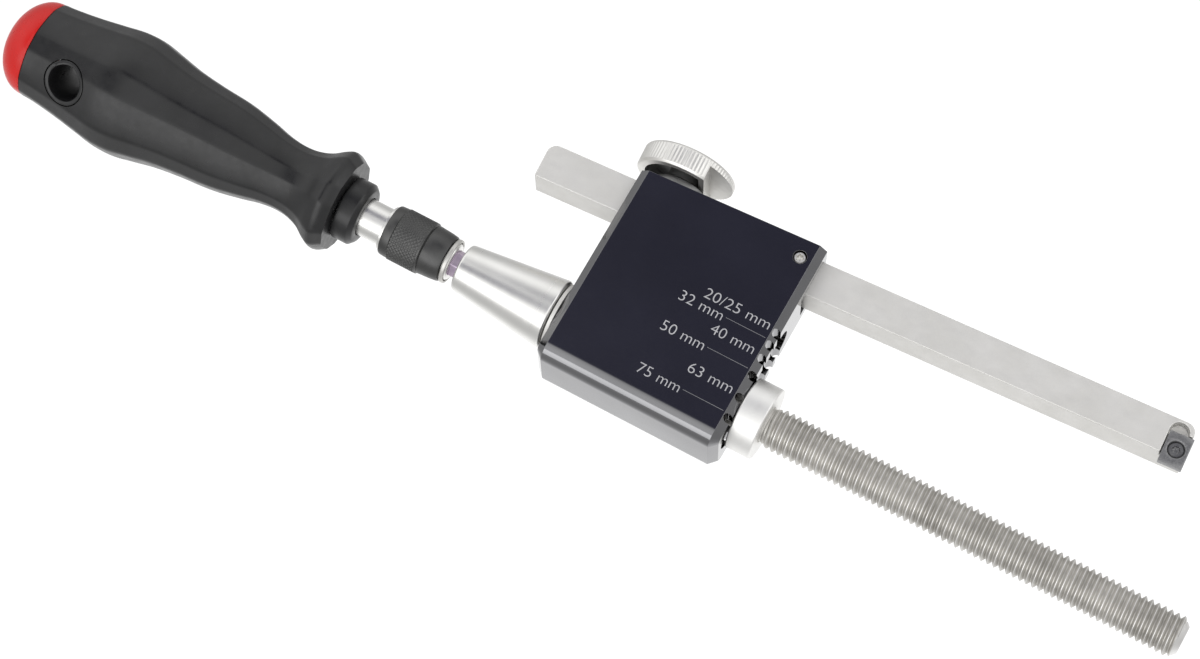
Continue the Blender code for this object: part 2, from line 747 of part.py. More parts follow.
def hex_drive():
    drive = hex_rod("hex_drive", HEX_FLATS, HEX_REAR, STUD_END - FIT, DARK_STEEL)
    spigot = rod_mesh("drive_spigot", SPIGOT_RADIUS, STUD_END - SPIGOT_OVERLAP, STUD_END + SPIGOT_LENGTH)
    cut(drive, along_x(keep("drive_spigot", spigot, STEEL)), "UNION")
    return drive


# --- Bit holder -------------------------------------------------------------------------------------------


def holder_body():
    chamfer = HOLDER_CHAMFER
    flange_front = SLEEVE_REAR + FIT
    flange_rear = flange_front - FLANGE_THICK
    shank_rear = GRIP_FRONT + FIT
    outline = [
        (0.0, HOLDER_FRONT),
        (HOLDER_RADIUS - chamfer, HOLDER_FRONT),
        (HOLDER_RADIUS, HOLDER_FRONT - chamfer),
        (HOLDER_RADIUS, flange_front),
        (FLANGE_RADIUS, flange_front),
        (FLANGE_RADIUS, flange_rear),
        (HOLDER_RADIUS, flange_rear),
        (HOLDER_RADIUS, shank_rear),
        (TANG_RADIUS, shank_rear),
        (TANG_RADIUS, TANG_END),
        (0.0, TANG_END),
    ]
    body = along_x(turned("holder_body", outline, TURNED_STEEL, closed=False))
    cut(body, hex_rod("hex_socket", SOCKET_FLATS, SOCKET_FLOOR, HOLDER_FRONT + PAST, STEEL))
    ball_hole = upright_rod(
        "ball_hole", BALL_RADIUS + RUNNING_FIT / 2, BALL_X, 0.0, HOLDER_RADIUS / 2, HOLDER_RADIUS + PAST
    )
    cut(body, ball_hole)
    return body


def locking_ball():
    mesh = bpy.data.meshes.new("locking_ball")
    shape = bmesh.new()
    bmesh.ops.create_uvsphere(shape, u_segments=12, v_segments=8, radius=BALL_RADIUS)
    shape.to_mesh(mesh)
    shape.free()
    ball = keep("locking_ball", mesh, TURNED_STEEL)
    ball.location = (BALL_X, 0.0, BALL_CENTRE_Z)
    return ball


def snap_ring():
    low = SLEEVE_FRONT + FIT
    bore = HOLDER_RADIUS + FIT
    outline = ring_outline(
        SNAP_RING_RADIUS, bore, low, low + SNAP_RING_LENGTH, SNAP_REAR_CHAMFER, SNAP_FRONT_CHAMFER
    )
    return along_x(turned("snap_ring", outline, NICKEL))


def chuck_sleeve():
    """Sliding sleeve: a running bore in front, a ball recess, a ball land and a spring chamber."""
    bore = HOLDER_RADIUS + RUNNING_FIT
    front_wall = SLEEVE_FRONT - SLEEVE_FRONT_WALL
    chamfer = SLEEVE_CHAMFER
    outline = [
        (bore, SLEEVE_FRONT),
        (SLEEVE_FRONT_RADIUS, SLEEVE_FRONT),
        (SLEEVE_WAIST_RADIUS, SLEEVE_GRIP_FRONT + chamfer),
        (SLEEVE_GRIP_RADIUS, SLEEVE_GRIP_FRONT),
        (SLEEVE_GRIP_RADIUS, SLEEVE_REAR + chamfer),
        (SLEEVE_GRIP_RADIUS - chamfer / 3, SLEEVE_REAR),
        (SLEEVE_BORE, SLEEVE_REAR),
        (SLEEVE_BORE, BALL_LAND_REAR),
        (BALL_LAND_RADIUS, BALL_LAND_REAR),
        (BALL_LAND_RADIUS, BALL_LAND_FRONT),
        (SLEEVE_BORE, BALL_LAND_FRONT),
        (SLEEVE_BORE, front_wall),
        (bore, front_wall),
    ]
    return along_x(turned("chuck_sleeve", outline, BLACK_METAL))


def sleeve_spring():
    low = SLEEVE_REAR + FIT + 2.5 * SPRING_WIRE_RADIUS
    high = BALL_LAND_REAR - 1.5 * SPRING_WIRE_RADIUS
    count = SPRING_TURNS * SPRING_STEPS
    curve = bpy.data.curves.new("sleeve_spring", "CURVE")
    curve.dimensions = "3D"
    curve.bevel_depth = SPRING_WIRE_RADIUS
    curve.bevel_resolution = 1
    curve.use_fill_caps = True
    line = curve.splines.new("POLY")
    line.points.add(count)
    for index, point in enumerate(line.points):
        angle = 2 * math.pi * index / SPRING_STEPS
        x = low + (high - low) * index / count
        point.co = (x, SPRING_RADIUS * math.cos(angle), SPRING_RADIUS * math.sin(angle), 1.0)
    spring = bpy.data.objects.new("sleeve_spring", curve)
    curve.materials.append(SPRING_STEEL)
    PARTS.objects.link(spring)
    return spring


def socket_magnet():
    high = HEX_REAR - FIT
    low = high - MAGNET_LENGTH
    outline = [(0.0, high), (MAGNET_RADIUS, high), (MAGNET_RADIUS, low), (0.0, low)]
    return along_x(turned("socket_magnet", outline, NICKEL, closed=False, steps=20))


# --- Handle -----------------------------------------------------------------------------------------------


def front_ring():
    outline = ring_outline(
        FERRULE_RADIUS, HOLDER_RADIUS + FIT, FERRULE_REAR, FERRULE_FRONT, 0.0, FERRULE_CHAMFER
    )
    return along_x(turned("front_ring", outline, BLACK_PLASTIC))


def handle_grip():
    bore = CORE_RADIUS + FIT
    rear_bore = CORE_REAR_RADIUS + FIT
    shoulder = CORE_FRONT + FIT
    widening = CORE_WIDENING + FIT
    outline = [(radius * MM, BLOCK_FRONT - behind * MM) for behind, radius in GRIP_STATIONS]
    outline += [
        (rear_bore, GRIP_REAR),
        (rear_bore, widening),
        (bore, widening),
        (bore, shoulder),
        (TANG_RADIUS + FIT, shoulder),
        (TANG_RADIUS + FIT, GRIP_FRONT),
    ]
    grip = along_x(turned("handle_grip", outline, BLACK_PLASTIC))
    cut(grip, hang_rod("grip_hang_hole"))
    return grip


def handle_core():
    """The red inner core, whose dome closes the handle's end."""
    dome_start = GRIP_REAR - FIT
    tang_hole = TANG_RADIUS + FIT
    tang_floor = TANG_END - TANG_GAP
    outline = [
        (tang_hole, CORE_FRONT),
        (CORE_RADIUS, CORE_FRONT),
        (CORE_RADIUS, CORE_WIDENING),
        (CORE_REAR_RADIUS, CORE_WIDENING),
        (CORE_REAR_RADIUS, dome_start),
        (DOME_RADIUS, dome_start),
    ]
    for step in range(1, DOME_STEPS):
        angle = step / DOME_STEPS * math.pi / 2
        height = dome_start + (DOME_END - dome_start) * math.sin(angle)
        outline.append((DOME_RADIUS * math.cos(angle), height))
    outline += [(0.0, DOME_END), (0.0, tang_floor), (tang_hole, tang_floor)]
    core = along_x(turned("handle_core", outline, RED_PLASTIC))
    cut(core, hang_rod("core_hang_hole"))
    return core


def hang_across(thing):
    """Tilt a piece made along local Z onto the hang hole's axis."""
    thing.location = (HANG_X, 0.0, 0.0)
    thing.rotation_euler = (HANG_TILT, 0.0, 0.0)
    return thing


def hang_rod(name):
    reach = EYELET_HALF_LENGTH + PAST
    return hang_across(keep(name, rod_mesh(name, EYELET_RADIUS + FIT, -reach, reach), STEEL))


def hang_eyelet():
    chamfer = EYELET_CHAMFER
    outline = ring_outline(
        EYELET_RADIUS, HANG_RADIUS, -EYELET_HALF_LENGTH, EYELET_HALF_LENGTH, chamfer, chamfer
    )
    return hang_across(turned("hang_eyelet", outline, BLACK_PLASTIC))


carrier_block()
grub_screw()
gib_strip()
cutter_bar()
carbide_insert()
insert_screw()
clamp_boss()
pressure_pad()
thumb_stud()
thumb_knob()
threaded_spindle()
front_collar()
thrust_washer()
cone_nut()
hex_drive()
holder_body()
locking_ball()
snap_ring()
chuck_sleeve()
sleeve_spring()
socket_magnet()
front_ring()
handle_grip()
handle_core()
hang_eyelet()
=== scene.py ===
"""Looks of the pipe deburring tool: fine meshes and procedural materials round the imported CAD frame.

All positions are in metres in the CAD's frame: +X along the tool axis to the spindle's tip at the
origin, +Z out of the block's scale face, +Y towards the cutter bar. Sizes come from the CAD nodes'
boxes where a node gives them.
"""

import math

import bmesh
import bpy
import numpy as np
from mathutils import Matrix, Vector


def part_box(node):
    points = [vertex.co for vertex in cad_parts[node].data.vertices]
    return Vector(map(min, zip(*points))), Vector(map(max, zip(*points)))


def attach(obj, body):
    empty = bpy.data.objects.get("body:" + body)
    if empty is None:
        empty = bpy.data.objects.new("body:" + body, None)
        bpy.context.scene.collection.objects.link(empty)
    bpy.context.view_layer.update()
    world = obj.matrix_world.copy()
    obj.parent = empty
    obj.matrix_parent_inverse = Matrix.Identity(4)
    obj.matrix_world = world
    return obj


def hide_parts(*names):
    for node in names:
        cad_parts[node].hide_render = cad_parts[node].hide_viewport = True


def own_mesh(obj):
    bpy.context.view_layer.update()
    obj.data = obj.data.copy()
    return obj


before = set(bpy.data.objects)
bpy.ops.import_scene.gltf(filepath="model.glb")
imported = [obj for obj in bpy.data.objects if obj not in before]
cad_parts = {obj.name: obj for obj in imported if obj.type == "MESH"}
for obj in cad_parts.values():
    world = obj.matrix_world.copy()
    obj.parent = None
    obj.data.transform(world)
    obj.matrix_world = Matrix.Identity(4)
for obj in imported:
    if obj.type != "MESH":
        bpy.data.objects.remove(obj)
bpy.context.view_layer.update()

MM = 0.001
TURN = 2 * math.pi
SMOOTH_ANGLE = math.radians(32)
MERGE = 1e-7

# Directions and spacings that no box gives
BAR_ANGLE = math.radians(3.38)
BAR_Y = 37.87 * MM
THUMB_X = -41.3 * MM
THREAD_PITCH = 1.75 * MM
HANG_TILT = math.radians(38.7)
SET_RADIUS = 31.5 * MM

block_low, block_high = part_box("carrier_block")
BLOCK_FRONT = block_high.x
BLOCK_TOP = block_high.z


# --- Materials --------------------------------------------------------------------------------------------


def new_material(name, colour, metallic, roughness, **sockets):
    """A Principled material whose even values are set on the shader's own sockets."""
    material = bpy.data.materials.new(name)
    material.use_nodes = True
    shader = material.node_tree.nodes["Principled BSDF"]
    shader.inputs["Base Color"].default_value = (*colour, 1)
    shader.inputs["Metallic"].default_value = metallic
    shader.inputs["Roughness"].default_value = roughness
    for socket, value in sockets.items():
        shader.inputs[socket.replace("_", " ")].default_value = value
    return material


def noise(material, scale, stretch=(1, 1, 1), detail=3.0):
    """Noise in the piece's own coordinates; scale counts features per metre."""
    tree = material.node_tree
    place = tree.nodes.new("ShaderNodeTexCoord")
    stretcher = tree.nodes.new("ShaderNodeMapping")
    stretcher.inputs["Scale"].default_value = stretch
    texture = tree.nodes.new("ShaderNodeTexNoise")
    texture.inputs["Scale"].default_value = scale
    texture.inputs["Detail"].default_value = detail
    tree.links.new(place.outputs["Object"], stretcher.inputs["Vector"])
    tree.links.new(stretcher.outputs["Vector"], texture.inputs["Vector"])
    return texture.outputs["Fac"]


def vary_colour(material, factor, low, high, start=0.3, stop=0.7):
    tree = material.node_tree
    ramp = tree.nodes.new("ShaderNodeValToRGB")
    ramp.color_ramp.elements[0].position = start
    ramp.color_ramp.elements[0].color = (*low, 1)
    ramp.color_ramp.elements[1].position = stop
    ramp.color_ramp.elements[1].color = (*high, 1)
    tree.links.new(factor, ramp.inputs["Fac"])
    tree.links.new(ramp.outputs["Color"], tree.nodes["Principled BSDF"].inputs["Base Color"])


def vary_roughness(material, factor, low, high):
    tree = material.node_tree
    reach = tree.nodes.new("ShaderNodeMapRange")
    reach.inputs["From Min"].default_value = 0.3
    reach.inputs["From Max"].default_value = 0.7
    reach.inputs["To Min"].default_value = low
    reach.inputs["To Max"].default_value = high
    tree.links.new(factor, reach.inputs["Value"])
    tree.links.new(reach.outputs["Result"], tree.nodes["Principled BSDF"].inputs["Roughness"])


def add_bump(material, factor, strength, depth):
    tree = material.node_tree
    bump = tree.nodes.new("ShaderNodeBump")
    bump.inputs["Strength"].default_value = strength
    bump.inputs["Distance"].default_value = depth
    tree.links.new(factor, bump.inputs["Height"])
    tree.links.new(bump.outputs["Normal"], tree.nodes["Principled BSDF"].inputs["Normal"])


def anodised_black():
    material = new_material(
        "anodised_black", (0.23, 0.23, 0.238), 1.0, 0.2, Coat_Weight=0.2, Coat_Roughness=0.12
    )
    vary_colour(material, noise(material, 60), (0.21, 0.21, 0.217), (0.25, 0.25, 0.259))
    vary_roughness(material, noise(material, 900, (1, 6, 1)), 0.09, 0.13)
    add_bump(material, noise(material, 5000, (1, 8, 1)), 0.06, 0.00002)
    return material


def turned_metal(name, dull, bright, smooth, rough, marks=700, along=(1, 0.02, 0.02)):
    """Turned metal: faint marks, counted per metre, that run round the piece."""
    material = new_material(name, bright, 1.0, smooth)
    vary_colour(material, noise(material, 120), dull, bright)
    vary_roughness(material, noise(material, marks, along), smooth, rough)
    return material


def even_metal(name, dull, bright, smooth, rough, marks=600):
    """Metal whose faint marks have no direction."""
    return turned_metal(name, dull, bright, smooth, rough, marks, (1, 1, 1))


def ground_steel():
    """Flat ground steel with cloudy, slightly warm patches and fine marks across the bar."""
    material = new_material("ground_steel", (0.7, 0.69, 0.665), 1.0, 0.42)
    vary_colour(material, noise(material, 140, (1, 1, 1), 4.0), (0.76, 0.75, 0.725), (0.81, 0.8, 0.78))
    vary_roughness(material, noise(material, 300, (1, 2, 1), 5.0), 0.55, 0.62)
    add_bump(material, noise(material, 5000, (1, 0.15, 0.3), 3.0), 0.08, 0.00001)
    return material


def moulded_plastic(name, low, high, roughness, grain, strength, **sockets):
    material = new_material(name, high, 0.0, roughness, **sockets)
    vary_colour(material, noise(material, 150), low, high)
    vary_roughness(material, noise(material, 500), roughness - 0.05, roughness + 0.06)
    add_bump(material, noise(material, grain, detail=2.0), strength, 0.00002)
    return material


def sintered_carbide():
    material = new_material("carbide", (0.3, 0.3, 0.305), 1.0, 0.4)
    vary_colour(material, noise(material, 1800), (0.25, 0.25, 0.255), (0.33, 0.33, 0.335))
    vary_roughness(material, noise(material, 2500), 0.34, 0.48)
    add_bump(material, noise(material, 22000), 0.1, 0.00001)
    return material


def tempered_hex():
    """Hardened steel with the violet tint of tempering."""
    material = new_material("tempered_steel", (0.6, 0.5, 0.62), 1.0, 0.28)
    vary_colour(material, noise(material, 350), (0.52, 0.43, 0.56), (0.68, 0.58, 0.68))
    vary_roughness(material, noise(material, 900), 0.42, 0.5)
    return material


ANODISED = anodised_black()
GROUND = ground_steel()
TURNED = turned_metal("turned_steel", (0.82, 0.815, 0.79), (0.88, 0.875, 0.855), 0.27, 0.3)
FACED = turned_metal("faced_steel", (0.9, 0.895, 0.875), (0.95, 0.945, 0.93), 0.44, 0.5)
SATIN_BLACK = even_metal("satin_black", (0.26, 0.26, 0.26), (0.32, 0.32, 0.32), 0.36, 0.44)
THREAD = even_metal("rolled_thread", (0.54, 0.525, 0.495), (0.68, 0.665, 0.635), 0.42, 0.55, 450)
# Lighter steel on the thread's crest faces and its tip chamfer: a painted highlight
CREST_HIGHLIGHT = even_metal("painted_crest_highlight", (0.78, 0.77, 0.75), (0.88, 0.87, 0.86), 0.4, 0.5, 450)
NICKEL = even_metal("nickel", (0.83, 0.82, 0.79), (0.89, 0.88, 0.855), 0.36, 0.44)
SHADED_NICKEL = even_metal("shaded_nickel", (0.3, 0.3, 0.3), (0.38, 0.38, 0.375), 0.45, 0.55)
# A darker copy of nickel: under the knob's disc it is painted shade; the lip ring takes it too
DARKER_NICKEL = even_metal("darker_nickel", (0.62, 0.61, 0.585), (0.7, 0.69, 0.665), 0.4, 0.5)
OXIDE = even_metal("black_oxide", (0.09, 0.09, 0.09), (0.12, 0.12, 0.118), 0.36, 0.46)
DARK_SCREW = even_metal("dark_screw", (0.2, 0.2, 0.205), (0.28, 0.28, 0.285), 0.3, 0.4)
SPRING = turned_metal("spring_wire", (0.45, 0.45, 0.45), (0.6, 0.6, 0.6), 0.25, 0.35)
BRASS = turned_metal("brass", (0.62, 0.46, 0.2), (0.76, 0.58, 0.28), 0.25, 0.35)
CARBIDE = sintered_carbide()
TEMPERED = tempered_hex()
BLACK_PLASTIC = moulded_plastic(
    "black_plastic", (0.009, 0.009, 0.0095), (0.014, 0.014, 0.015), 0.32, 9000, 0.1
)
RED_PLASTIC = moulded_plastic(
    "red_plastic", (0.6, 0.012, 0.01), (0.66, 0.016, 0.013), 0.3, 3000, 0.01, Specular_IOR_Level=0.35
)
PRINT = moulded_plastic("scale_print", (0.42, 0.42, 0.44), (0.52, 0.52, 0.54), 0.5, 20000, 0.05)
FINE_PRINT = moulded_plastic("fine_print", (0.2, 0.2, 0.21), (0.26, 0.26, 0.27), 0.5, 20000, 0.05)


# --- Making meshes ----------------------------------------------------------------------------------------


def soften(outline, reach, steps=4, closed=True):
    """Round the corners of an outline; reach is how far from a corner its curve starts."""
    points = [Vector(point) for point in outline]
    result = []
    for index, corner in enumerate(points):
        if not closed and index in (0, len(points) - 1):
            result.append(corner)
            continue
        before = points[index - 1] - corner
        after = points[(index + 1) % len(points)] - corner
        length = min(reach, 0.45 * before.length, 0.45 * after.length)
        start = corner + before.normalized() * length
        end = corner + after.normalized() * length
        for step in range(steps + 1):
            share = step / steps
            result.append(start * (1 - share) ** 2 + corner * 2 * share * (1 - share) + end * share**2)
    return result


def finish_mesh(name, shape, material, place=None):
    """Close, clean and shade a bmesh, and make it an object."""
    bmesh.ops.remove_doubles(shape, verts=shape.verts, dist=MERGE)
    bmesh.ops.dissolve_degenerate(shape, edges=shape.edges, dist=MERGE)
    bmesh.ops.recalc_face_normals(shape, faces=shape.faces)
    mesh = bpy.data.meshes.new(name)
    shape.to_mesh(mesh)
    shape.free()
    if place is not None:
        mesh.transform(place)
    mesh.materials.append(material)
    mesh.shade_smooth()
    mesh.set_sharp_from_angle(angle=SMOOTH_ANGLE)
    thing = bpy.data.objects.new(name, mesh)
    bpy.context.scene.collection.objects.link(thing)
    return thing


def rings_to_shape(rings, closed):
    """Join rings of equally many points with quads; a closed stack also joins its last ring to its first."""
    shape = bmesh.new()
    rows = [[shape.verts.new(point) for point in ring] for ring in rings]
    count = len(rows[0])
    pairs = list(zip(rows, rows[1:]))
    if closed:
        pairs.append((rows[-1], rows[0]))
    for lower, upper in pairs:
        for i in range(count):
            j = (i + 1) % count
            shape.faces.new((lower[i], lower[j], upper[j], upper[i]))
    return shape


def revolve(name, outline, material, steps=96, closed=True, wave=None, place=None):
    """Spin (x, radius) points about the X axis. wave(x, radius, angle) may change a point's radius."""
    angles = [TURN * i / steps for i in range(steps)]
    rings = []
    for x, radius in outline:
        ring = []
        for angle in angles:
            r = wave(x, radius, angle) if wave else radius
            ring.append((x, r * math.cos(angle), r * math.sin(angle)))
        rings.append(ring)
    return finish_mesh(name, rings_to_shape(rings, closed), material, place)


def ring_outline(low, high, bore, radius):
    return [(low, bore), (low, radius), (high, radius), (high, bore)]


def apply_modifiers(thing):
    """Bake a piece's modifiers into its mesh and clear them."""
    bpy.context.view_layer.update()
    depsgraph = bpy.context.evaluated_depsgraph_get()
    mesh = bpy.data.meshes.new_from_object(thing.evaluated_get(depsgraph))
    thing.modifiers.clear()
    thing.data = mesh
    mesh.set_sharp_from_angle(angle=SMOOTH_ANGLE)
    return thing


def cut(thing, cutter):
    """Take the cutter's solid out of a piece."""
    modifier = thing.modifiers.new("cut", "BOOLEAN")
    modifier.solver = "EXACT"
    modifier.material_mode = "TRANSFER"
    modifier.object = cutter
    apply_modifiers(thing)
    bpy.data.objects.remove(cutter, do_unlink=True)
    return thing


def box_cutter(low, high, place=None, material=None):
    shape = bmesh.new()
    bmesh.ops.create_cube(shape, size=1.0)
    for corner in shape.verts:
        corner.co = Vector(a + (b - a) * (c + 0.5) for a, b, c in zip(low, high, corner.co))
    return finish_mesh("cutter", shape, material or ANODISED, place)


def refined(name, node, material, width, segments=3):
    """A copy of a CAD node's solid with its edges rounded."""
    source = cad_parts[node].data
    shape = bmesh.new()
    shape.from_mesh(source)
    bmesh.ops.remove_doubles(shape, verts=shape.verts, dist=MERGE)
    bmesh.ops.dissolve_limit(
        shape, angle_limit=math.radians(0.5), verts=shape.verts, edges=shape.edges, delimit={"NORMAL"}
    )
    clean = bpy.data.meshes.new(name)
    points = [corner.co.copy() for corner in shape.verts]
    shape.verts.index_update()
    faces = [[corner.index for corner in face.verts] for face in shape.faces]
    shape.free()
    clean.from_pydata(points, [], faces)
    clean.materials.append(material)
    thing = bpy.data.objects.new(name, clean)
    bpy.context.scene.collection.objects.link(thing)
    clean.shade_smooth()
    bevel = thing.modifiers.new("soft edges", "BEVEL")
    bevel.width = width
    bevel.segments = segments
    bevel.limit_method = "ANGLE"
    bevel.angle_limit = math.radians(35)
    weighted = thing.modifiers.new("flat faces", "WEIGHTED_NORMAL")
    weighted.keep_sharp = False
    bpy.context.view_layer.update()
    depsgraph = bpy.context.evaluated_depsgraph_get()
    thing.data = bpy.data.meshes.new_from_object(thing.evaluated_get(depsgraph))
    thing.modifiers.clear()
    return thing


def belongs(thing, body, slot, *nodes):
    """Tie a finished piece to its body and hide the CAD nodes it stands for; slot is not used."""
    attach(thing, body)
    if nodes:
        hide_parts(*nodes)
    return thing


# The bar's frame, and the thumb screw's: the spun X axis becomes the screw's axis
BAR_PLACE = Matrix.Translation((BLOCK_FRONT, BAR_Y, 0)) @ Matrix.Rotation(BAR_ANGLE, 4, "Z")
THUMB_PLACE = BAR_PLACE @ Matrix.Translation((THUMB_X, 0, 0)) @ Matrix.Rotation(math.pi / 2, 4, "Z")


# --- Carrier block ----------------------------------------------------------------------------------------

# Text, pipe radius, x from the front face where the text starts and ends, and where its line ends
SCALE_MARKS = [
    ("20/25 mm", 12.5, -21.0, -3.0, None),
    ("32 mm", 16.0, -26.2, -14.3, -2.5),
    ("40 mm", 20.0, -15.3, -3.4, None),
    ("50 mm", 25.0, -26.4, -14.6, -2.5),
    ("63 mm", 31.5, -15.3, -3.2, None),
    ("75 mm", 37.5, -26.2, -14.6, -2.5),
]
MARK_SIZE = 4.1 * MM
MARK_LIFT = 0.01 * MM
MARK_THINNING = 0.045 * MM
MARK_RISE = 0.9 * MM
LEADER_GAP = 0.8 * MM
LEADER_HALF_WIDTH = 0.06 * MM


def printed_text(name, text, left, right, middle):
    """Flat printed text between two x places, centred on a y line."""
    font = bpy.data.curves.new(name, "FONT")
    font.body = text
    font.size = MARK_SIZE
    font.resolution_u = 4
    font.offset = -MARK_THINNING
    maker = bpy.data.objects.new(name, font)
    bpy.context.scene.collection.objects.link(maker)
    bpy.context.view_layer.update()
    mesh = bpy.data.meshes.new_from_object(maker.evaluated_get(bpy.context.evaluated_depsgraph_get()))
    bpy.data.objects.remove(maker, do_unlink=True)
    xs = [corner.co.x for corner in mesh.vertices]
    ys = [corner.co.y for corner in mesh.vertices]
    stretch = (right - left) / (max(xs) - min(xs))
    for corner in mesh.vertices:
        corner.co.x = left + (corner.co.x - min(xs)) * stretch
        corner.co.y = middle + corner.co.y - (max(ys) + min(ys)) / 2
        corner.co.z = BLOCK_TOP + MARK_LIFT
    mesh.materials.clear()
    mesh.materials.append(PRINT)
    thing = bpy.data.objects.new(name, mesh)
    bpy.context.scene.collection.objects.link(thing)
    return thing


def scale_marks():
    for text, radius, left, right, leader_end in SCALE_MARKS:
        y = SET_RADIUS - radius * MM
        name = "scale_" + text.replace("/", "_").replace(" ", "_")
        marks = printed_text(name, text, BLOCK_FRONT + left * MM, BLOCK_FRONT + right * MM, y + MARK_RISE)
        belongs(marks, "carrier", None)
        if leader_end is not None:
            start = BLOCK_FRONT + right * MM + LEADER_GAP
            leader = box_cutter(
                (start, y + MARK_RISE - LEADER_HALF_WIDTH, BLOCK_TOP),
                (BLOCK_FRONT + leader_end * MM, y + MARK_RISE + LEADER_HALF_WIDTH, BLOCK_TOP + MARK_LIFT),
                material=FINE_PRINT,
            )
            leader.name = name + "_leader"
            belongs(leader, "carrier", None)


BLOCK_EDGE = 0.2 * MM
SOCKET_LOBES = 6
GRUB_SOCKET = 0.85 * MM
GRUB_SOCKET_DEPTH = 1.5 * MM


def socket_head(name, radius, socket, lobes, depth, top, bottom, material, place):
    """A screw's round head with a lobed recess; its axis is local Z."""
    steps = 72
    chamfer = 0.12 * radius

    def circle(r, z):
        return [(r * math.cos(TURN * i / steps), r * math.sin(TURN * i / steps), z) for i in range(steps)]

    def lobed(share, z):
        ring = []
        for i in range(steps):
            angle = TURN * i / steps
            r = share * socket * (1 + 0.17 * math.cos(lobes * angle))
            ring.append((r * math.cos(angle), r * math.sin(angle), z))
        return ring

    rings = [
        circle(0.0, bottom),
        circle(radius, bottom),
        circle(radius, top - chamfer),
        circle(radius - chamfer, top),
        lobed(1.08, top),
        lobed(1.0, top - 0.1 * depth),
        lobed(0.92, top - depth),
        circle(0.0, top - 1.25 * depth),
    ]
    return finish_mesh(name, rings_to_shape(rings, False), material, place)


def carrier():
    block = refined("block", "carrier_block", ANODISED, BLOCK_EDGE)
    belongs(block, "carrier", "black_anodised", "carrier_block")
    belongs(refined("gib", "gib_strip", TEMPERED, BLOCK_EDGE), "carrier", "dark_steel", "gib_strip")
    low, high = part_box("grub_screw")
    centre = (low + high) / 2
    grub = socket_head(
        "grub", (high.x - low.x) / 2, GRUB_SOCKET, SOCKET_LOBES, GRUB_SOCKET_DEPTH, high.z, low.z, NICKEL,
        Matrix.Translation((centre.x, centre.y, 0)),
    )
    belongs(grub, "carrier", "nickel", "grub_screw")
    scale_marks()


# --- Cutter bar -------------------------------------------------------------------------------------------

INSERT_X = 98.15 * MM
INSERT_Y = -2.8 * MM
INSERT_HALF_LENGTH = 3.15 * MM
INSERT_HALF_WIDTH = 4.2 * MM
INSERT_LOW = 2.7 * MM
INSERT_TOP = 5.1 * MM
INSERT_HOLE = 2.3 * MM
INSERT_HOLE_FLARE = 0.1 * MM
INSERT_HOLE_TAPER = 0.3 * MM
INSERT_EDGE = 0.12 * MM
BAR_EDGE = 0.3 * MM
SCREW_HEAD = 1.98 * MM
SCREW_SOCKET = 0.98 * MM
SCREW_SOCKET_DEPTH = 0.8 * MM
SCREW_SHANK_LENGTH = 2.5 * MM


def cutter():
    bar = refined("bar", "cutter_bar", GROUND, BAR_EDGE)
    belongs(bar, "cutter", "ground_steel", "cutter_bar")
    insert = box_cutter(
        (INSERT_X - INSERT_HALF_LENGTH, INSERT_Y - INSERT_HALF_WIDTH, INSERT_LOW),
        (INSERT_X + INSERT_HALF_LENGTH, INSERT_Y + INSERT_HALF_WIDTH, INSERT_TOP),
        BAR_PLACE,
        CARBIDE,
    )
    insert.name = "insert"
    place = BAR_PLACE @ Matrix.Translation((INSERT_X, INSERT_Y, 0)) @ Matrix.Rotation(-math.pi / 2, 4, "Y")
    narrow = INSERT_HOLE - INSERT_HOLE_TAPER
    wide = INSERT_HOLE + INSERT_HOLE_FLARE
    hole = [
        (INSERT_LOW - MM, 0),
        (INSERT_LOW - MM, narrow),
        (INSERT_TOP - 0.7 * MM, narrow),
        (INSERT_TOP + INSERT_HOLE_FLARE, wide),
        (INSERT_TOP + MM, wide),
        (INSERT_TOP + MM, 0),
    ]
    cut(insert, revolve("cutter", hole, CARBIDE, closed=False, place=place))
    edges = insert.modifiers.new("ground edges", "BEVEL")
    edges.width = INSERT_EDGE
    edges.segments = 2
    edges.limit_method = "ANGLE"
    edges.angle_limit = math.radians(40)
    apply_modifiers(insert)
    belongs(insert, "cutter", "carbide", "carbide_insert")
    low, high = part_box("insert_screw")
    screw = socket_head(
        "insert_fixing", SCREW_HEAD, SCREW_SOCKET, SOCKET_LOBES, SCREW_SOCKET_DEPTH,
        high.z, low.z + SCREW_SHANK_LENGTH, DARK_SCREW,
        BAR_PLACE @ Matrix.Translation((INSERT_X, INSERT_Y, 0)),
    )
    belongs(screw, "cutter", "dark_steel", "insert_screw")


# --- Thumb screw ------------------------------------------------------------------------------------------

KNOB_RADIUS = 12.5 * MM
KNOB_LOW = 10.0 * MM
KNOB_TOP = 16.2 * MM
KNOB_TEETH = 78
KNURL_DEPTH = 0.14 * MM
KNOB_DISC_LOW = 14.0 * MM
KNOB_HUB_RADIUS = 4.4 * MM
KNOB_HOLLOW_RADIUS = 10.2 * MM
KNOB_WALL_INSIDE = 4.7 * MM
KNOB_WALL_OUTSIDE = 6.15 * MM
KNOB_BORE_RADIUS = 3.3 * MM
KNOB_BORE_END = 15.5 * MM
PAST = 5 * MM
BOSS_BORE = 3.4 * MM
BOSS_RADIUS = 6.8 * MM
BOSS_TOP = 9.6 * MM
BOSS_SEAT = 6.82 * MM
BOSS_SPIGOT_RADIUS = 4.5 * MM
BOSS_SPIGOT_END = 5.4 * MM
BOSS_EDGE = 0.35 * MM


def knob_wave(x, radius, angle):
    """Straight knurl round the rim, with a plain edge above and below."""
    rim = max(0.0, min(1.0, (x - KNOB_LOW - 0.5 * MM) / (0.25 * MM), (KNOB_TOP - 0.9 * MM - x) / (0.3 * MM)))
    if radius < KNOB_RADIUS - 0.4 * MM:
        return radius
    return radius - KNURL_DEPTH * rim * (0.5 - 0.5 * math.cos(KNOB_TEETH * angle))


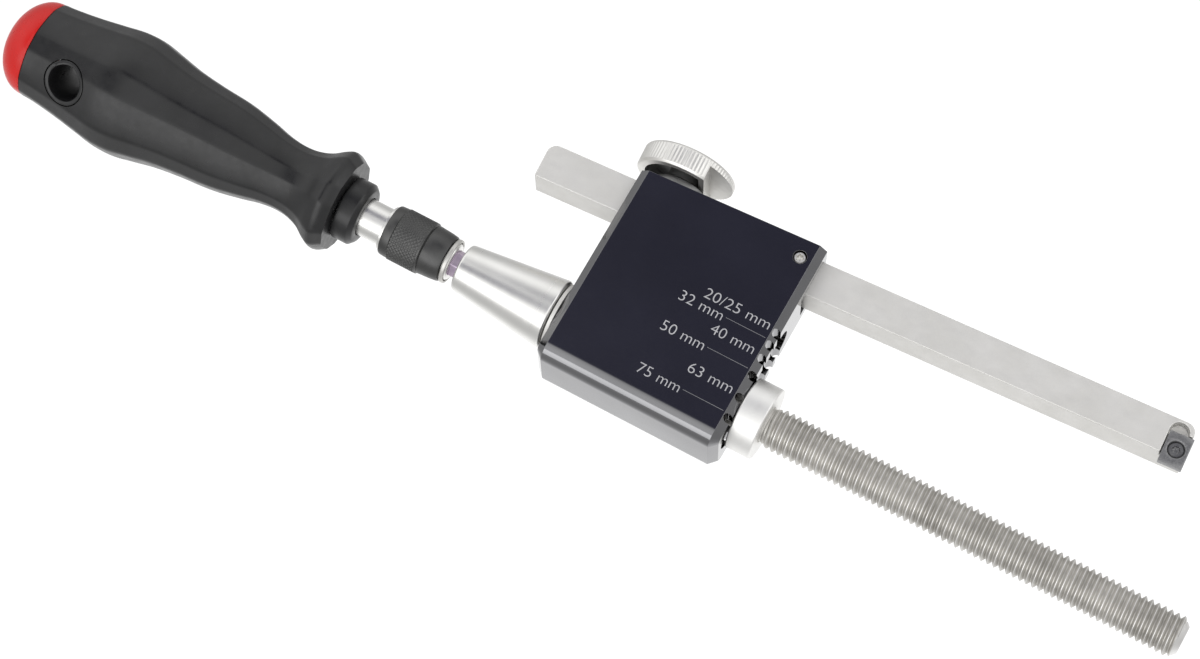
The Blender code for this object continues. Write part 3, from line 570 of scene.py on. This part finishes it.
def thumb_screw():
    rim = [
        (KNOB_LOW, KNOB_RADIUS - 0.5 * MM),
        (KNOB_LOW + 0.35 * MM, KNOB_RADIUS - 0.12 * MM),
        (KNOB_LOW + 0.5 * MM, KNOB_RADIUS),
        (KNOB_LOW + 0.8 * MM, KNOB_RADIUS),
        (KNOB_TOP - 1.3 * MM, KNOB_RADIUS),
        (KNOB_TOP - 0.9 * MM, KNOB_RADIUS),
        (KNOB_TOP - 0.45 * MM, KNOB_RADIUS - 0.2 * MM),
        (KNOB_TOP - 0.15 * MM, KNOB_RADIUS - 0.6 * MM),
        (KNOB_TOP, KNOB_RADIUS - 1.3 * MM),
    ]
    outline = [(KNOB_LOW, 0.0)] + rim + [(KNOB_TOP, 0.0)]
    knob = revolve("knob", outline, NICKEL, 8 * KNOB_TEETH, False, knob_wave, THUMB_PLACE)
    under = KNOB_LOW - PAST
    ring = ring_outline(under, KNOB_DISC_LOW, KNOB_HUB_RADIUS, KNOB_HOLLOW_RADIUS)
    hollow = revolve("hollow", ring, SHADED_NICKEL, place=THUMB_PLACE)
    cut(hollow, knob_box(KNOB_WALL_INSIDE, under - PAST, KNOB_DISC_LOW + PAST, SHADED_NICKEL))
    cut(knob, hollow)
    # The faces this cut opens under the knob's disc take the darker nickel, painted shade
    cut(knob, knob_box(KNOB_WALL_OUTSIDE, under, KNOB_DISC_LOW, DARKER_NICKEL))
    bore = [
        (under, 0.0), (under, KNOB_BORE_RADIUS), (KNOB_BORE_END, KNOB_BORE_RADIUS), (KNOB_BORE_END, 0.0),
    ]
    cut(knob, revolve("bore", bore, NICKEL, 48, False, place=THUMB_PLACE))
    belongs(knob, "thumb_screw", "nickel", "thumb_knob")
    boss = soften(
        [
            (BOSS_TOP, BOSS_BORE), (BOSS_TOP, BOSS_RADIUS), (BOSS_SEAT, BOSS_RADIUS),
            (BOSS_SEAT, BOSS_SPIGOT_RADIUS), (BOSS_SPIGOT_END, BOSS_SPIGOT_RADIUS),
            (BOSS_SPIGOT_END, BOSS_BORE),
        ],
        BOSS_EDGE,
    )
    belongs(revolve("boss", boss, SATIN_BLACK, place=THUMB_PLACE), "carrier", "black_anodised", "clamp_boss")


def knob_box(side, low, high, material):
    """Cutter for everything in the knob past a plane square to the bar."""
    far = 20 * MM
    place = BAR_PLACE @ Matrix.Translation((THUMB_X, 0, 0))
    return box_cutter((side, low, -far), (far, high, far), place, material)


# --- Spindle ----------------------------------------------------------------------------------------------

THREAD_STEPS = 48
THREAD_RADIUS = 5.5 * MM
THREAD_ROOT = 4.5 * MM
TIP_CHAMFER = 1.9 * MM
# Length at the spindle's tip whose faces take the painted highlight
TIP_BRIGHT = 1.5 * MM
collar_low, collar_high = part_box("front_collar")
nut_low, nut_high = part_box("cone_nut")
spindle_low, spindle_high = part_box("threaded_spindle")
THREAD_START = collar_high.x + 0.3 * MM
NECK_RADIUS = 4.5 * MM
ROOT_RADIUS = NECK_RADIUS - 0.1 * MM
STUD_RADIUS = 4.0 * MM
STUD_END_RADIUS = 3.5 * MM
HEX_SEAT_RADIUS = 2.8 * MM
HEX_SEAT_DEPTH = 8 * MM
COLLAR_EDGE = 0.55 * MM
HEX_EDGE = 0.25 * MM
WASHER_EDGE = 0.15 * MM
NUT_BORE = 4.3 * MM
NUT_REAR_RADIUS = 6.4 * MM
NUT_EDGE = 0.9 * MM
FIT = 0.3 * MM


def thread_radius(x, share):
    """Radius at a share of the pitch: flat crest, straight flanks and a rounded root."""
    height = max(0.0, min(1.0, (abs(share - 0.5) * 2 - 0.09) / 0.79))
    radius = THREAD_RADIUS - (THREAD_RADIUS - THREAD_ROOT) * (height - 0.08 * math.sin(math.pi * height))
    tip = THREAD_RADIUS - TIP_CHAMFER + (spindle_high.x - x)
    runout = ROOT_RADIUS + 0.5 * (x - THREAD_START)
    return min(radius, tip, runout)


def threaded_spindle():
    shares = [0.0, 0.06, 0.19, 0.32, 0.455, 0.545, 0.68, 0.81, 0.94]
    crest = shares.index(0.455)
    length = spindle_high.x - THREAD_START
    steps = int((length / THREAD_PITCH + 4) * THREAD_STEPS)
    shape = bmesh.new()
    rows = []
    for k in range(steps):
        angle = TURN * k / THREAD_STEPS
        row = []
        for share in shares:
            x = THREAD_START + THREAD_PITCH * (k / THREAD_STEPS - 2 + share)
            x = max(THREAD_START, min(spindle_high.x, x))
            r = thread_radius(x, share)
            row.append(shape.verts.new((x, r * math.cos(angle), r * math.sin(angle))))
        rows.append(row)
    for k in range(steps - 1):
        here = rows[k] + ([rows[k + THREAD_STEPS][0]] if k + THREAD_STEPS < steps else [])
        there = rows[k + 1] + ([rows[k + 1 + THREAD_STEPS][0]] if k + 1 + THREAD_STEPS < steps else [])
        for j in range(min(len(here), len(there)) - 1):
            corners = (here[j], there[j], there[j + 1], here[j + 1])
            xs = [corner.co.x for corner in corners]
            if max(xs) - min(xs) > MERGE:
                face = shape.faces.new(corners)
                # Crest faces and the tip's last TIP_BRIGHT take the lighter steel, a painted highlight
                face.material_index = int(j == crest or min(xs) > spindle_high.x - TIP_BRIGHT)
    start = THREAD_START
    seat = spindle_low.x + HEX_SEAT_DEPTH
    neck = [
        (start, ROOT_RADIUS), (start - 0.2 * MM, NECK_RADIUS), (nut_high.x + MM, NECK_RADIUS),
        (nut_high.x + 0.5 * MM, STUD_RADIUS), (spindle_low.x + 0.5 * MM, STUD_RADIUS),
        (spindle_low.x, STUD_END_RADIUS), (spindle_low.x, HEX_SEAT_RADIUS),
        (seat, HEX_SEAT_RADIUS), (seat, 0.0),
    ]
    tip = [(spindle_high.x, THREAD_RADIUS - TIP_CHAMFER), (spindle_high.x, 0.0)]
    for outline in (neck, tip):
        rings = []
        for x, r in outline:
            angles = [TURN * i / THREAD_STEPS for i in range(THREAD_STEPS)]
            rings.append([shape.verts.new((x, r * math.cos(a), r * math.sin(a))) for a in angles])
        for lower, upper in zip(rings, rings[1:]):
            for i in range(THREAD_STEPS):
                j = (i + 1) % THREAD_STEPS
                shape.faces.new((lower[i], lower[j], upper[j], upper[i]))
    loose = [corner for corner in shape.verts if not corner.link_faces]
    bmesh.ops.delete(shape, geom=loose, context="VERTS")
    bmesh.ops.remove_doubles(shape, verts=shape.verts, dist=1e-6)
    screw = finish_mesh("spindle_screw", shape, THREAD)
    screw.data.materials.append(CREST_HIGHLIGHT)
    return screw


def spindle():
    belongs(threaded_spindle(), "spindle", "threaded_steel", "threaded_spindle")
    outline = ring_outline(collar_low.x, collar_high.x, NECK_RADIUS + FIT, collar_high.z)
    collar = revolve("collar", soften(outline, COLLAR_EDGE, 5), FACED, 128)
    belongs(collar, "spindle", "turned_steel", "front_collar")
    belongs(refined("hex", "hex_drive", TEMPERED, HEX_EDGE), "spindle", "dark_steel", "hex_drive")
    washer = refined("washer_ring", "thrust_washer", GROUND, WASHER_EDGE)
    belongs(washer, "washer", "ground_steel", "thrust_washer")
    nut = soften(
        [
            (nut_low.x, NUT_BORE), (nut_low.x, NUT_REAR_RADIUS - 0.2 * MM),
            (nut_low.x + 1.6 * MM, NUT_REAR_RADIUS), (nut_high.x - 0.5 * MM, nut_high.z),
            (nut_high.x, nut_high.z - 0.5 * MM), (nut_high.x, NUT_BORE),
        ],
        NUT_EDGE, 5,
    )
    belongs(revolve("clamp_cone", nut, TURNED, 128), "clamp_nut", "turned_steel", "cone_nut")


# --- Bit holder -------------------------------------------------------------------------------------------

sleeve_low, sleeve_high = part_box("chuck_sleeve")
KNURL_ROWS = 38
SLEEVE_KNURL_DEPTH = 0.14 * MM
KNURL_END = sleeve_high.x - 6.4 * MM
KNURL_START = sleeve_low.x + 2.7 * MM
KNURL_RINGS = 84
SLEEVE_RADIUS = 7.0 * MM
SLEEVE_BORE = 6.2 * MM
SLEEVE_MOUTH = 5.1 * MM
SLEEVE_MOUTH_DEPTH = 2.7 * MM
HOLDER_EDGE = 0.12 * MM
SNAP_RING_BORE = 5.3 * MM
SNAP_RING_EDGE = 0.3 * MM


def groove_distance(value):
    """Distance of a value from the nearest whole number, doubled to reach 1 halfway."""
    return 2 * abs(value - round(value))


def sleeve_wave(x, radius, angle):
    """Diamond knurl on the sleeve's rear part."""
    if radius < SLEEVE_RADIUS - 0.01 * MM or not KNURL_START < x < KNURL_END:
        return radius
    around = KNURL_ROWS * angle / TURN
    along = (x - sleeve_low.x) / (TURN * SLEEVE_RADIUS / KNURL_ROWS)
    height = min(groove_distance(around + along), groove_distance(around - along))
    return radius - SLEEVE_KNURL_DEPTH * (1 - min(1.0, 2.2 * height))


def holder():
    shank = refined("holder", "holder_body", TURNED, HOLDER_EDGE)
    belongs(shank, "handle", "turned_steel", "holder_body")
    low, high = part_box("snap_ring")
    lip = soften(ring_outline(low.x, high.x, SNAP_RING_BORE, high.z), SNAP_RING_EDGE)
    belongs(revolve("lip_ring", lip, DARKER_NICKEL), "handle", "nickel", "snap_ring")
    bore = SLEEVE_BORE
    length = KNURL_END - KNURL_START
    knurl = [(KNURL_START + length * i / KNURL_RINGS, SLEEVE_RADIUS) for i in range(KNURL_RINGS + 1)]
    front = [
        (KNURL_END + 0.25 * MM, 6.95 * MM), (KNURL_END + 0.55 * MM, 6.5 * MM),
        (KNURL_END + 0.85 * MM, 6.62 * MM),
        (sleeve_high.x - 2.2 * MM, 6.38 * MM), (sleeve_high.x - 0.5 * MM, 6.15 * MM),
        (sleeve_high.x - 0.1 * MM, 5.95 * MM), (sleeve_high.x, 5.7 * MM), (sleeve_high.x, SLEEVE_MOUTH),
    ]
    step = sleeve_high.x - SLEEVE_MOUTH_DEPTH
    inside = [(step, SLEEVE_MOUTH), (step, bore), (sleeve_low.x, bore)]
    rear = [
        (sleeve_low.x, bore + 0.1 * MM), (sleeve_low.x + 0.1 * MM, bore + 0.35 * MM),
        (sleeve_low.x + 0.4 * MM, bore + 0.5 * MM), (sleeve_low.x + 2.1 * MM, bore + 0.62 * MM),
        (KNURL_START - 0.25 * MM, bore + 0.6 * MM),
    ]
    outline = rear + knurl + front + inside
    sleeve = revolve("sleeve", outline, OXIDE, 8 * KNURL_ROWS, True, sleeve_wave)
    belongs(sleeve, "sleeve", "black_oxide", "chuck_sleeve")
    coil()


SPRING_WIRE = 0.22 * MM
SPRING_RADIUS = 5.8 * MM
SPRING_TURNS = 3
SPRING_STEPS = 32 * SPRING_TURNS


def coil():
    """The sleeve's spring, as a fixed coil over the CAD node's length."""
    low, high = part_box("sleeve_spring")
    curve = bpy.data.curves.new("spring_coil", "CURVE")
    curve.dimensions = "3D"
    curve.bevel_depth = SPRING_WIRE
    curve.bevel_resolution = 3
    curve.use_fill_caps = True
    line = curve.splines.new("POLY")
    line.points.add(SPRING_STEPS)
    for index, point in enumerate(line.points):
        share = index / SPRING_STEPS
        x = low.x + SPRING_WIRE + (high.x - low.x - 2 * SPRING_WIRE) * share
        angle = TURN * SPRING_TURNS * share
        point.co = (x, SPRING_RADIUS * math.cos(angle), SPRING_RADIUS * math.sin(angle), 1)
    maker = bpy.data.objects.new("spring_coil", curve)
    bpy.context.scene.collection.objects.link(maker)
    bpy.context.view_layer.update()
    mesh = bpy.data.meshes.new_from_object(maker.evaluated_get(bpy.context.evaluated_depsgraph_get()))
    bpy.data.objects.remove(maker, do_unlink=True)
    shape = bmesh.new()
    shape.from_mesh(mesh)
    spring = finish_mesh("spring_coil", shape, SPRING)
    belongs(spring, "handle", "spring_steel", "sleeve_spring")
    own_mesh(spring)


# --- Handle -----------------------------------------------------------------------------------------------

FACET_CENTRE = math.radians(104)
FACET_COUNT = 6
NARROW_HALF = math.radians(11)
BROAD_HALF = math.pi / FACET_COUNT - NARROW_HALF
BROAD_CROWN = 0.032
GRIP_STEPS = 192
FACET_RUNOUT = 5 * MM
grip_low, grip_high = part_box("handle_grip")
dome_low, dome_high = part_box("handle_core")
HANG_X = (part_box("hang_eyelet")[0].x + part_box("hang_eyelet")[1].x) / 2
EYELET_RADIUS = 5.7 * MM
HANG_RADIUS = 4.5 * MM
RING_CORNERS = 120
OUTER_SKIN = 9.05 * MM
GRIP_RINGS = 150
GRIP_BORE = 6.3 * MM
GRIP_REAR_BORE = 9.8 * MM
GRIP_FRONT_WALL = 11 * MM
TANG_BORE = 4.3 * MM
TANG_GAP = 2 * MM
CORE_RADIUS = 6.0 * MM
CORE_REAR_RADIUS = 9.5 * MM
CORE_STEP = dome_low.x + 33.9 * MM
DOME_RINGS = 32
DOME_FULLNESS = 0.92
FRONT_RING_BORE = 5.2 * MM


def grip_stations():
    """The grip's radius at each of its turned stations, read from the rings of the CAD node's outer skin."""
    rings = {}
    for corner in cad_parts["handle_grip"].data.vertices:
        rings.setdefault(round(corner.co.x, 5), []).append(math.hypot(corner.co.y, corner.co.z))
    ends = (min(rings), max(rings))
    whole = {x: radii for x, radii in rings.items() if len(radii) > RING_CORNERS}
    return sorted((x, max(radii)) for x, radii in whole.items() if x in ends or min(radii) > OUTER_SKIN)


STATIONS = grip_stations()


def grip_radius(x):
    """A smooth curve through the stations."""
    xs = [station[0] for station in STATIONS]
    rs = [station[1] for station in STATIONS]
    x = max(xs[0], min(xs[-1], x))
    index = max(0, min(len(xs) - 2, int(np.searchsorted(xs, x)) - 1))
    slopes = np.gradient(rs, xs)
    span = xs[index + 1] - xs[index]
    share = (x - xs[index]) / span
    a = rs[index]
    b = rs[index + 1]
    rise_a = slopes[index] * span
    rise_b = slopes[index + 1] * span
    keep_a = 2 * share**3 - 3 * share**2 + 1
    keep_b = -2 * share**3 + 3 * share**2
    lean_a = share**3 - 2 * share**2 + share
    lean_b = share**3 - share**2
    return float(keep_a * a + keep_b * b + lean_a * rise_a + lean_b * rise_b)


def facet_share(angle):
    """Share of the full radius at an angle: six narrow flats between six crowned broad faces."""
    pitch = TURN / FACET_COUNT
    away = abs((angle - FACET_CENTRE + pitch / 2) % pitch - pitch / 2)
    if away <= NARROW_HALF:
        return math.cos(NARROW_HALF) / math.cos(away)
    across = (pitch / 2 - away) / BROAD_HALF
    return 1 - BROAD_CROWN * (1 - across**2)


def facet_depth(x):
    """How strongly the facets show: full on the body and fading at the tail."""
    tail = min(1.0, max(0.0, (x - grip_low.x + FACET_RUNOUT) / (1.6 * FACET_RUNOUT)))
    return tail * tail * (3 - 2 * tail)


def faceted(x, radius, angle):
    soft = sum(facet_share(angle + math.radians(d)) for d in (-2, -1, 0, 1, 2)) / 5
    return radius * (1 - facet_depth(x) * (1 - soft))


def grip_surface(x, angle):
    return faceted(x, grip_radius(x), angle)


def hang_cutter(radius):
    reach = 25 * MM
    place = Matrix.Translation((HANG_X, 0, 0)) @ Matrix.Rotation(HANG_TILT, 4, "X")
    place = place @ Matrix.Rotation(-math.pi / 2, 4, "Y")
    outline = [(-reach, 0), (-reach, radius), (reach, radius), (reach, 0)]
    return revolve("cutter", outline, ANODISED, 96, False, place=place)


def grip():
    length = grip_high.x - grip_low.x
    wall = grip_high.x - GRIP_FRONT_WALL
    step = CORE_STEP + FIT
    outline = [(grip_low.x, GRIP_REAR_BORE)]
    outline += [(grip_low.x + length * i / GRIP_RINGS, None) for i in range(GRIP_RINGS + 1)]
    outline += [(grip_high.x, TANG_BORE), (wall, TANG_BORE), (wall, GRIP_BORE)]
    outline += [(step, GRIP_BORE), (step, GRIP_REAR_BORE)]

    def wave(x, radius, angle):
        return grip_surface(x, angle) if radius is None else radius

    body = revolve("grip", outline, BLACK_PLASTIC, GRIP_STEPS, True, wave)
    cut(body, hang_cutter(EYELET_RADIUS + FIT))
    belongs(body, "handle", "black_plastic", "handle_grip")


def core():
    dome_start = grip_low.x - FIT
    radius = dome_high.z
    length = dome_start - dome_low.x
    outline = [
        (dome_high.x, TANG_BORE), (dome_high.x, CORE_RADIUS), (CORE_STEP, CORE_RADIUS),
        (CORE_STEP, CORE_REAR_RADIUS), (dome_start, CORE_REAR_RADIUS), (dome_start, radius - 0.15 * MM),
    ]
    for i in range(1, DOME_RINGS):
        angle = math.pi / 2 * i / DOME_RINGS
        height = (radius - 0.05 * MM) * math.cos(angle) ** DOME_FULLNESS
        outline.append((dome_start - length * math.sin(angle), height))
    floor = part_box("holder_body")[0].x - TANG_GAP
    outline += [(dome_low.x, 0.0), (floor, 0.0), (floor, TANG_BORE)]

    def wave(x, radius, angle):
        in_dome = x <= dome_start and radius > CORE_REAR_RADIUS + 0.1 * MM
        return faceted(x, radius, angle) if in_dome else radius

    red = revolve("red_core", outline, RED_PLASTIC, GRIP_STEPS, True, wave)
    cut(red, hang_cutter(EYELET_RADIUS + FIT))
    belongs(red, "handle", "red_plastic", "handle_core")


def eyelet():
    """The hang hole's lining; its lips follow the grip's surface."""
    steps = 96
    across = Vector((0, math.cos(HANG_TILT), math.sin(HANG_TILT)))
    along = Vector((0, -math.sin(HANG_TILT), math.cos(HANG_TILT)))
    # Radius from the hole's axis, and height over the grip's surface in millimetres
    lip = [
        (EYELET_RADIUS, -0.5), (EYELET_RADIUS, -0.05), (EYELET_RADIUS - 0.2 * MM, 0.06),
        (HANG_RADIUS + 0.6 * MM, 0.02), (HANG_RADIUS + 0.25 * MM, -0.2), (HANG_RADIUS, -0.8),
    ]

    def ring(radius, height, side):
        points = []
        for i in range(steps):
            angle = TURN * i / steps
            offset = Vector((HANG_X, 0, 0)) + Vector((1, 0, 0)) * radius * math.cos(angle)
            offset += across * radius * math.sin(angle)
            reach = 14 * MM
            for _ in range(8):
                point = offset + along * side * reach
                surface = grip_surface(point.x, math.atan2(point.z, point.y))
                reach += surface - math.hypot(point.y, point.z)
            points.append(offset + along * side * (reach + height * MM))
        return points

    rings = [ring(radius, height, 1) for radius, height in lip]
    rings += [ring(radius, height, -1) for radius, height in reversed(lip)]
    tube = finish_mesh("eyelet", rings_to_shape(rings, True), BLACK_PLASTIC)
    belongs(tube, "handle", "black_plastic", "hang_eyelet")


def handle_ring():
    low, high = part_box("front_ring")
    radius = high.z
    bore = FRONT_RING_BORE
    outline = soften(
        [
            (low.x, bore), (low.x, radius - 0.1 * MM), (low.x + 0.3 * MM, radius),
            (high.x - 1.3 * MM, radius), (high.x - 0.1 * MM, radius - 1.2 * MM),
            (high.x, bore + 0.9 * MM), (high.x, bore),
        ],
        0.25 * MM, 3,
    )
    ring = revolve("handle_front_ring", outline, BLACK_PLASTIC, 128)
    belongs(ring, "handle", "black_plastic", "front_ring")


# --- Stage ------------------------------------------------------------------------------------------------


DARK_BLUE = 0.04
# Half of one plus the cosine of the angle to TENT_UP, and how bright the surroundings are there
TENT_LEVELS = [
    (0.0, 1.14), (0.08, 1.12), (0.17, 0.76), (0.3, 0.54), (0.45, 0.52), (0.58, 0.6), (0.7, 0.88), (0.8, 1.14)
]
TENT_UP = (-0.22, 0.03, 1)
# Two dark openings in the tent: the same measure of the angle to each, and the share of light left there
OVERHEAD = (-0.11, 0.36, 1)
OVERHEAD_LEVELS = [(0.0, 1.0), (0.86, 1.0), (0.925, 0.95), (0.972, 0.7), (0.99, 0.12), (1.0, 0.07)]
BEHIND = (-0.56, -0.22, 1)
BEHIND_LEVELS = [(0.0, 1.0), (0.978, 1.0), (0.994, 0.15), (1.0, 0.1)]


def direction_ramp(tree, towards, levels, blue=0.0):
    """A colour that depends only on the angle to one direction; blue tints its darkest levels."""
    place = tree.nodes.new("ShaderNodeTexCoord")
    dot = tree.nodes.new("ShaderNodeVectorMath")
    dot.operation = "DOT_PRODUCT"
    dot.inputs[1].default_value = Vector(towards).normalized()
    share = tree.nodes.new("ShaderNodeMapRange")
    share.inputs["From Min"].default_value = -1.0
    ramp = tree.nodes.new("ShaderNodeValToRGB")
    while len(ramp.color_ramp.elements) < len(levels):
        ramp.color_ramp.elements.new(0.5)
    for element, (position, level) in zip(ramp.color_ramp.elements, levels):
        element.position = position
        element.color = (level, level, level + blue * (level < 0.2), 1)
    tree.links.new(place.outputs["Generated"], dot.inputs[0])
    tree.links.new(dot.outputs["Value"], share.inputs["Value"])
    tree.links.new(share.outputs["Result"], ramp.inputs["Fac"])
    return ramp.outputs["Color"]


def light_tent():
    """A bright table below, a dim horizon and a bright tent with two dark openings."""
    world = bpy.data.worlds.new("tent")
    bpy.context.scene.world = world
    world.use_nodes = True
    tree = world.node_tree
    light = direction_ramp(tree, TENT_UP, TENT_LEVELS)
    for direction, levels in ((OVERHEAD, OVERHEAD_LEVELS), (BEHIND, BEHIND_LEVELS)):
        opening = tree.nodes.new("ShaderNodeVectorMath")
        opening.operation = "MULTIPLY"
        tree.links.new(light, opening.inputs[0])
        tree.links.new(direction_ramp(tree, direction, levels, DARK_BLUE), opening.inputs[1])
        light = opening.outputs["Vector"]
    background = tree.nodes["Background"]
    background.inputs["Strength"].default_value = 1.0
    tree.links.new(light, background.inputs["Color"])


def soft_light(name, place, target, size, power):
    lamp = bpy.data.lights.new(name, "AREA")
    lamp.shape = "RECTANGLE"
    lamp.size, lamp.size_y = size
    lamp.energy = power
    thing = bpy.data.objects.new(name, lamp)
    thing.location = place
    thing.rotation_euler = (Vector(target) - Vector(place)).to_track_quat("-Z", "Y").to_euler()
    bpy.context.scene.collection.objects.link(thing)


CAMERA_LENS = 113.75
CAMERA_SENSOR = 36
CAMERA_NEAR = 0.01
CAMERA_RIGHT = (0.8738, 0.4861, -0.0156)
CAMERA_UP = (-0.4525, 0.8244, 0.3400)
CAMERA_PLACE = (0.0061, -0.2713, 0.8861)


def camera():
    lens = bpy.data.cameras.new("camera")
    lens.lens = CAMERA_LENS
    lens.sensor_width = CAMERA_SENSOR
    lens.clip_start = CAMERA_NEAR
    thing = bpy.data.objects.new("camera", lens)
    right = Vector(CAMERA_RIGHT)
    back = right.cross(Vector(CAMERA_UP)).normalized()
    up = back.cross(right).normalized()
    turn = Matrix((right.normalized(), up, back)).transposed().to_4x4()
    thing.matrix_world = Matrix.Translation(CAMERA_PLACE) @ turn
    bpy.context.scene.collection.objects.link(thing)
    bpy.context.scene.camera = thing


def hidden_nodes():
    """Small inner pieces keep their CAD shape and get a procedural material."""
    looks = {"pressure_pad": BRASS, "thumb_stud": THREAD, "locking_ball": TURNED, "socket_magnet": NICKEL}
    for node, material in looks.items():
        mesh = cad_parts[node].data
        mesh.materials.clear()
        mesh.materials.append(material)


camera()
light_tent()
soft_light("front_box", (-0.3, -0.95, 0.55), (-0.15, 0, 0), (1.3, 0.65), 3.2)
soft_light("side_box", (0.8, 0.7, 0.5), (-0.1, 0, 0), (0.7, 0.5), 1.2)
bpy.context.scene.view_settings.view_transform = "Standard"

carrier()
cutter()
thumb_screw()
spindle()
holder()
grip()
core()
eyelet()
handle_ring()
hidden_nodes()
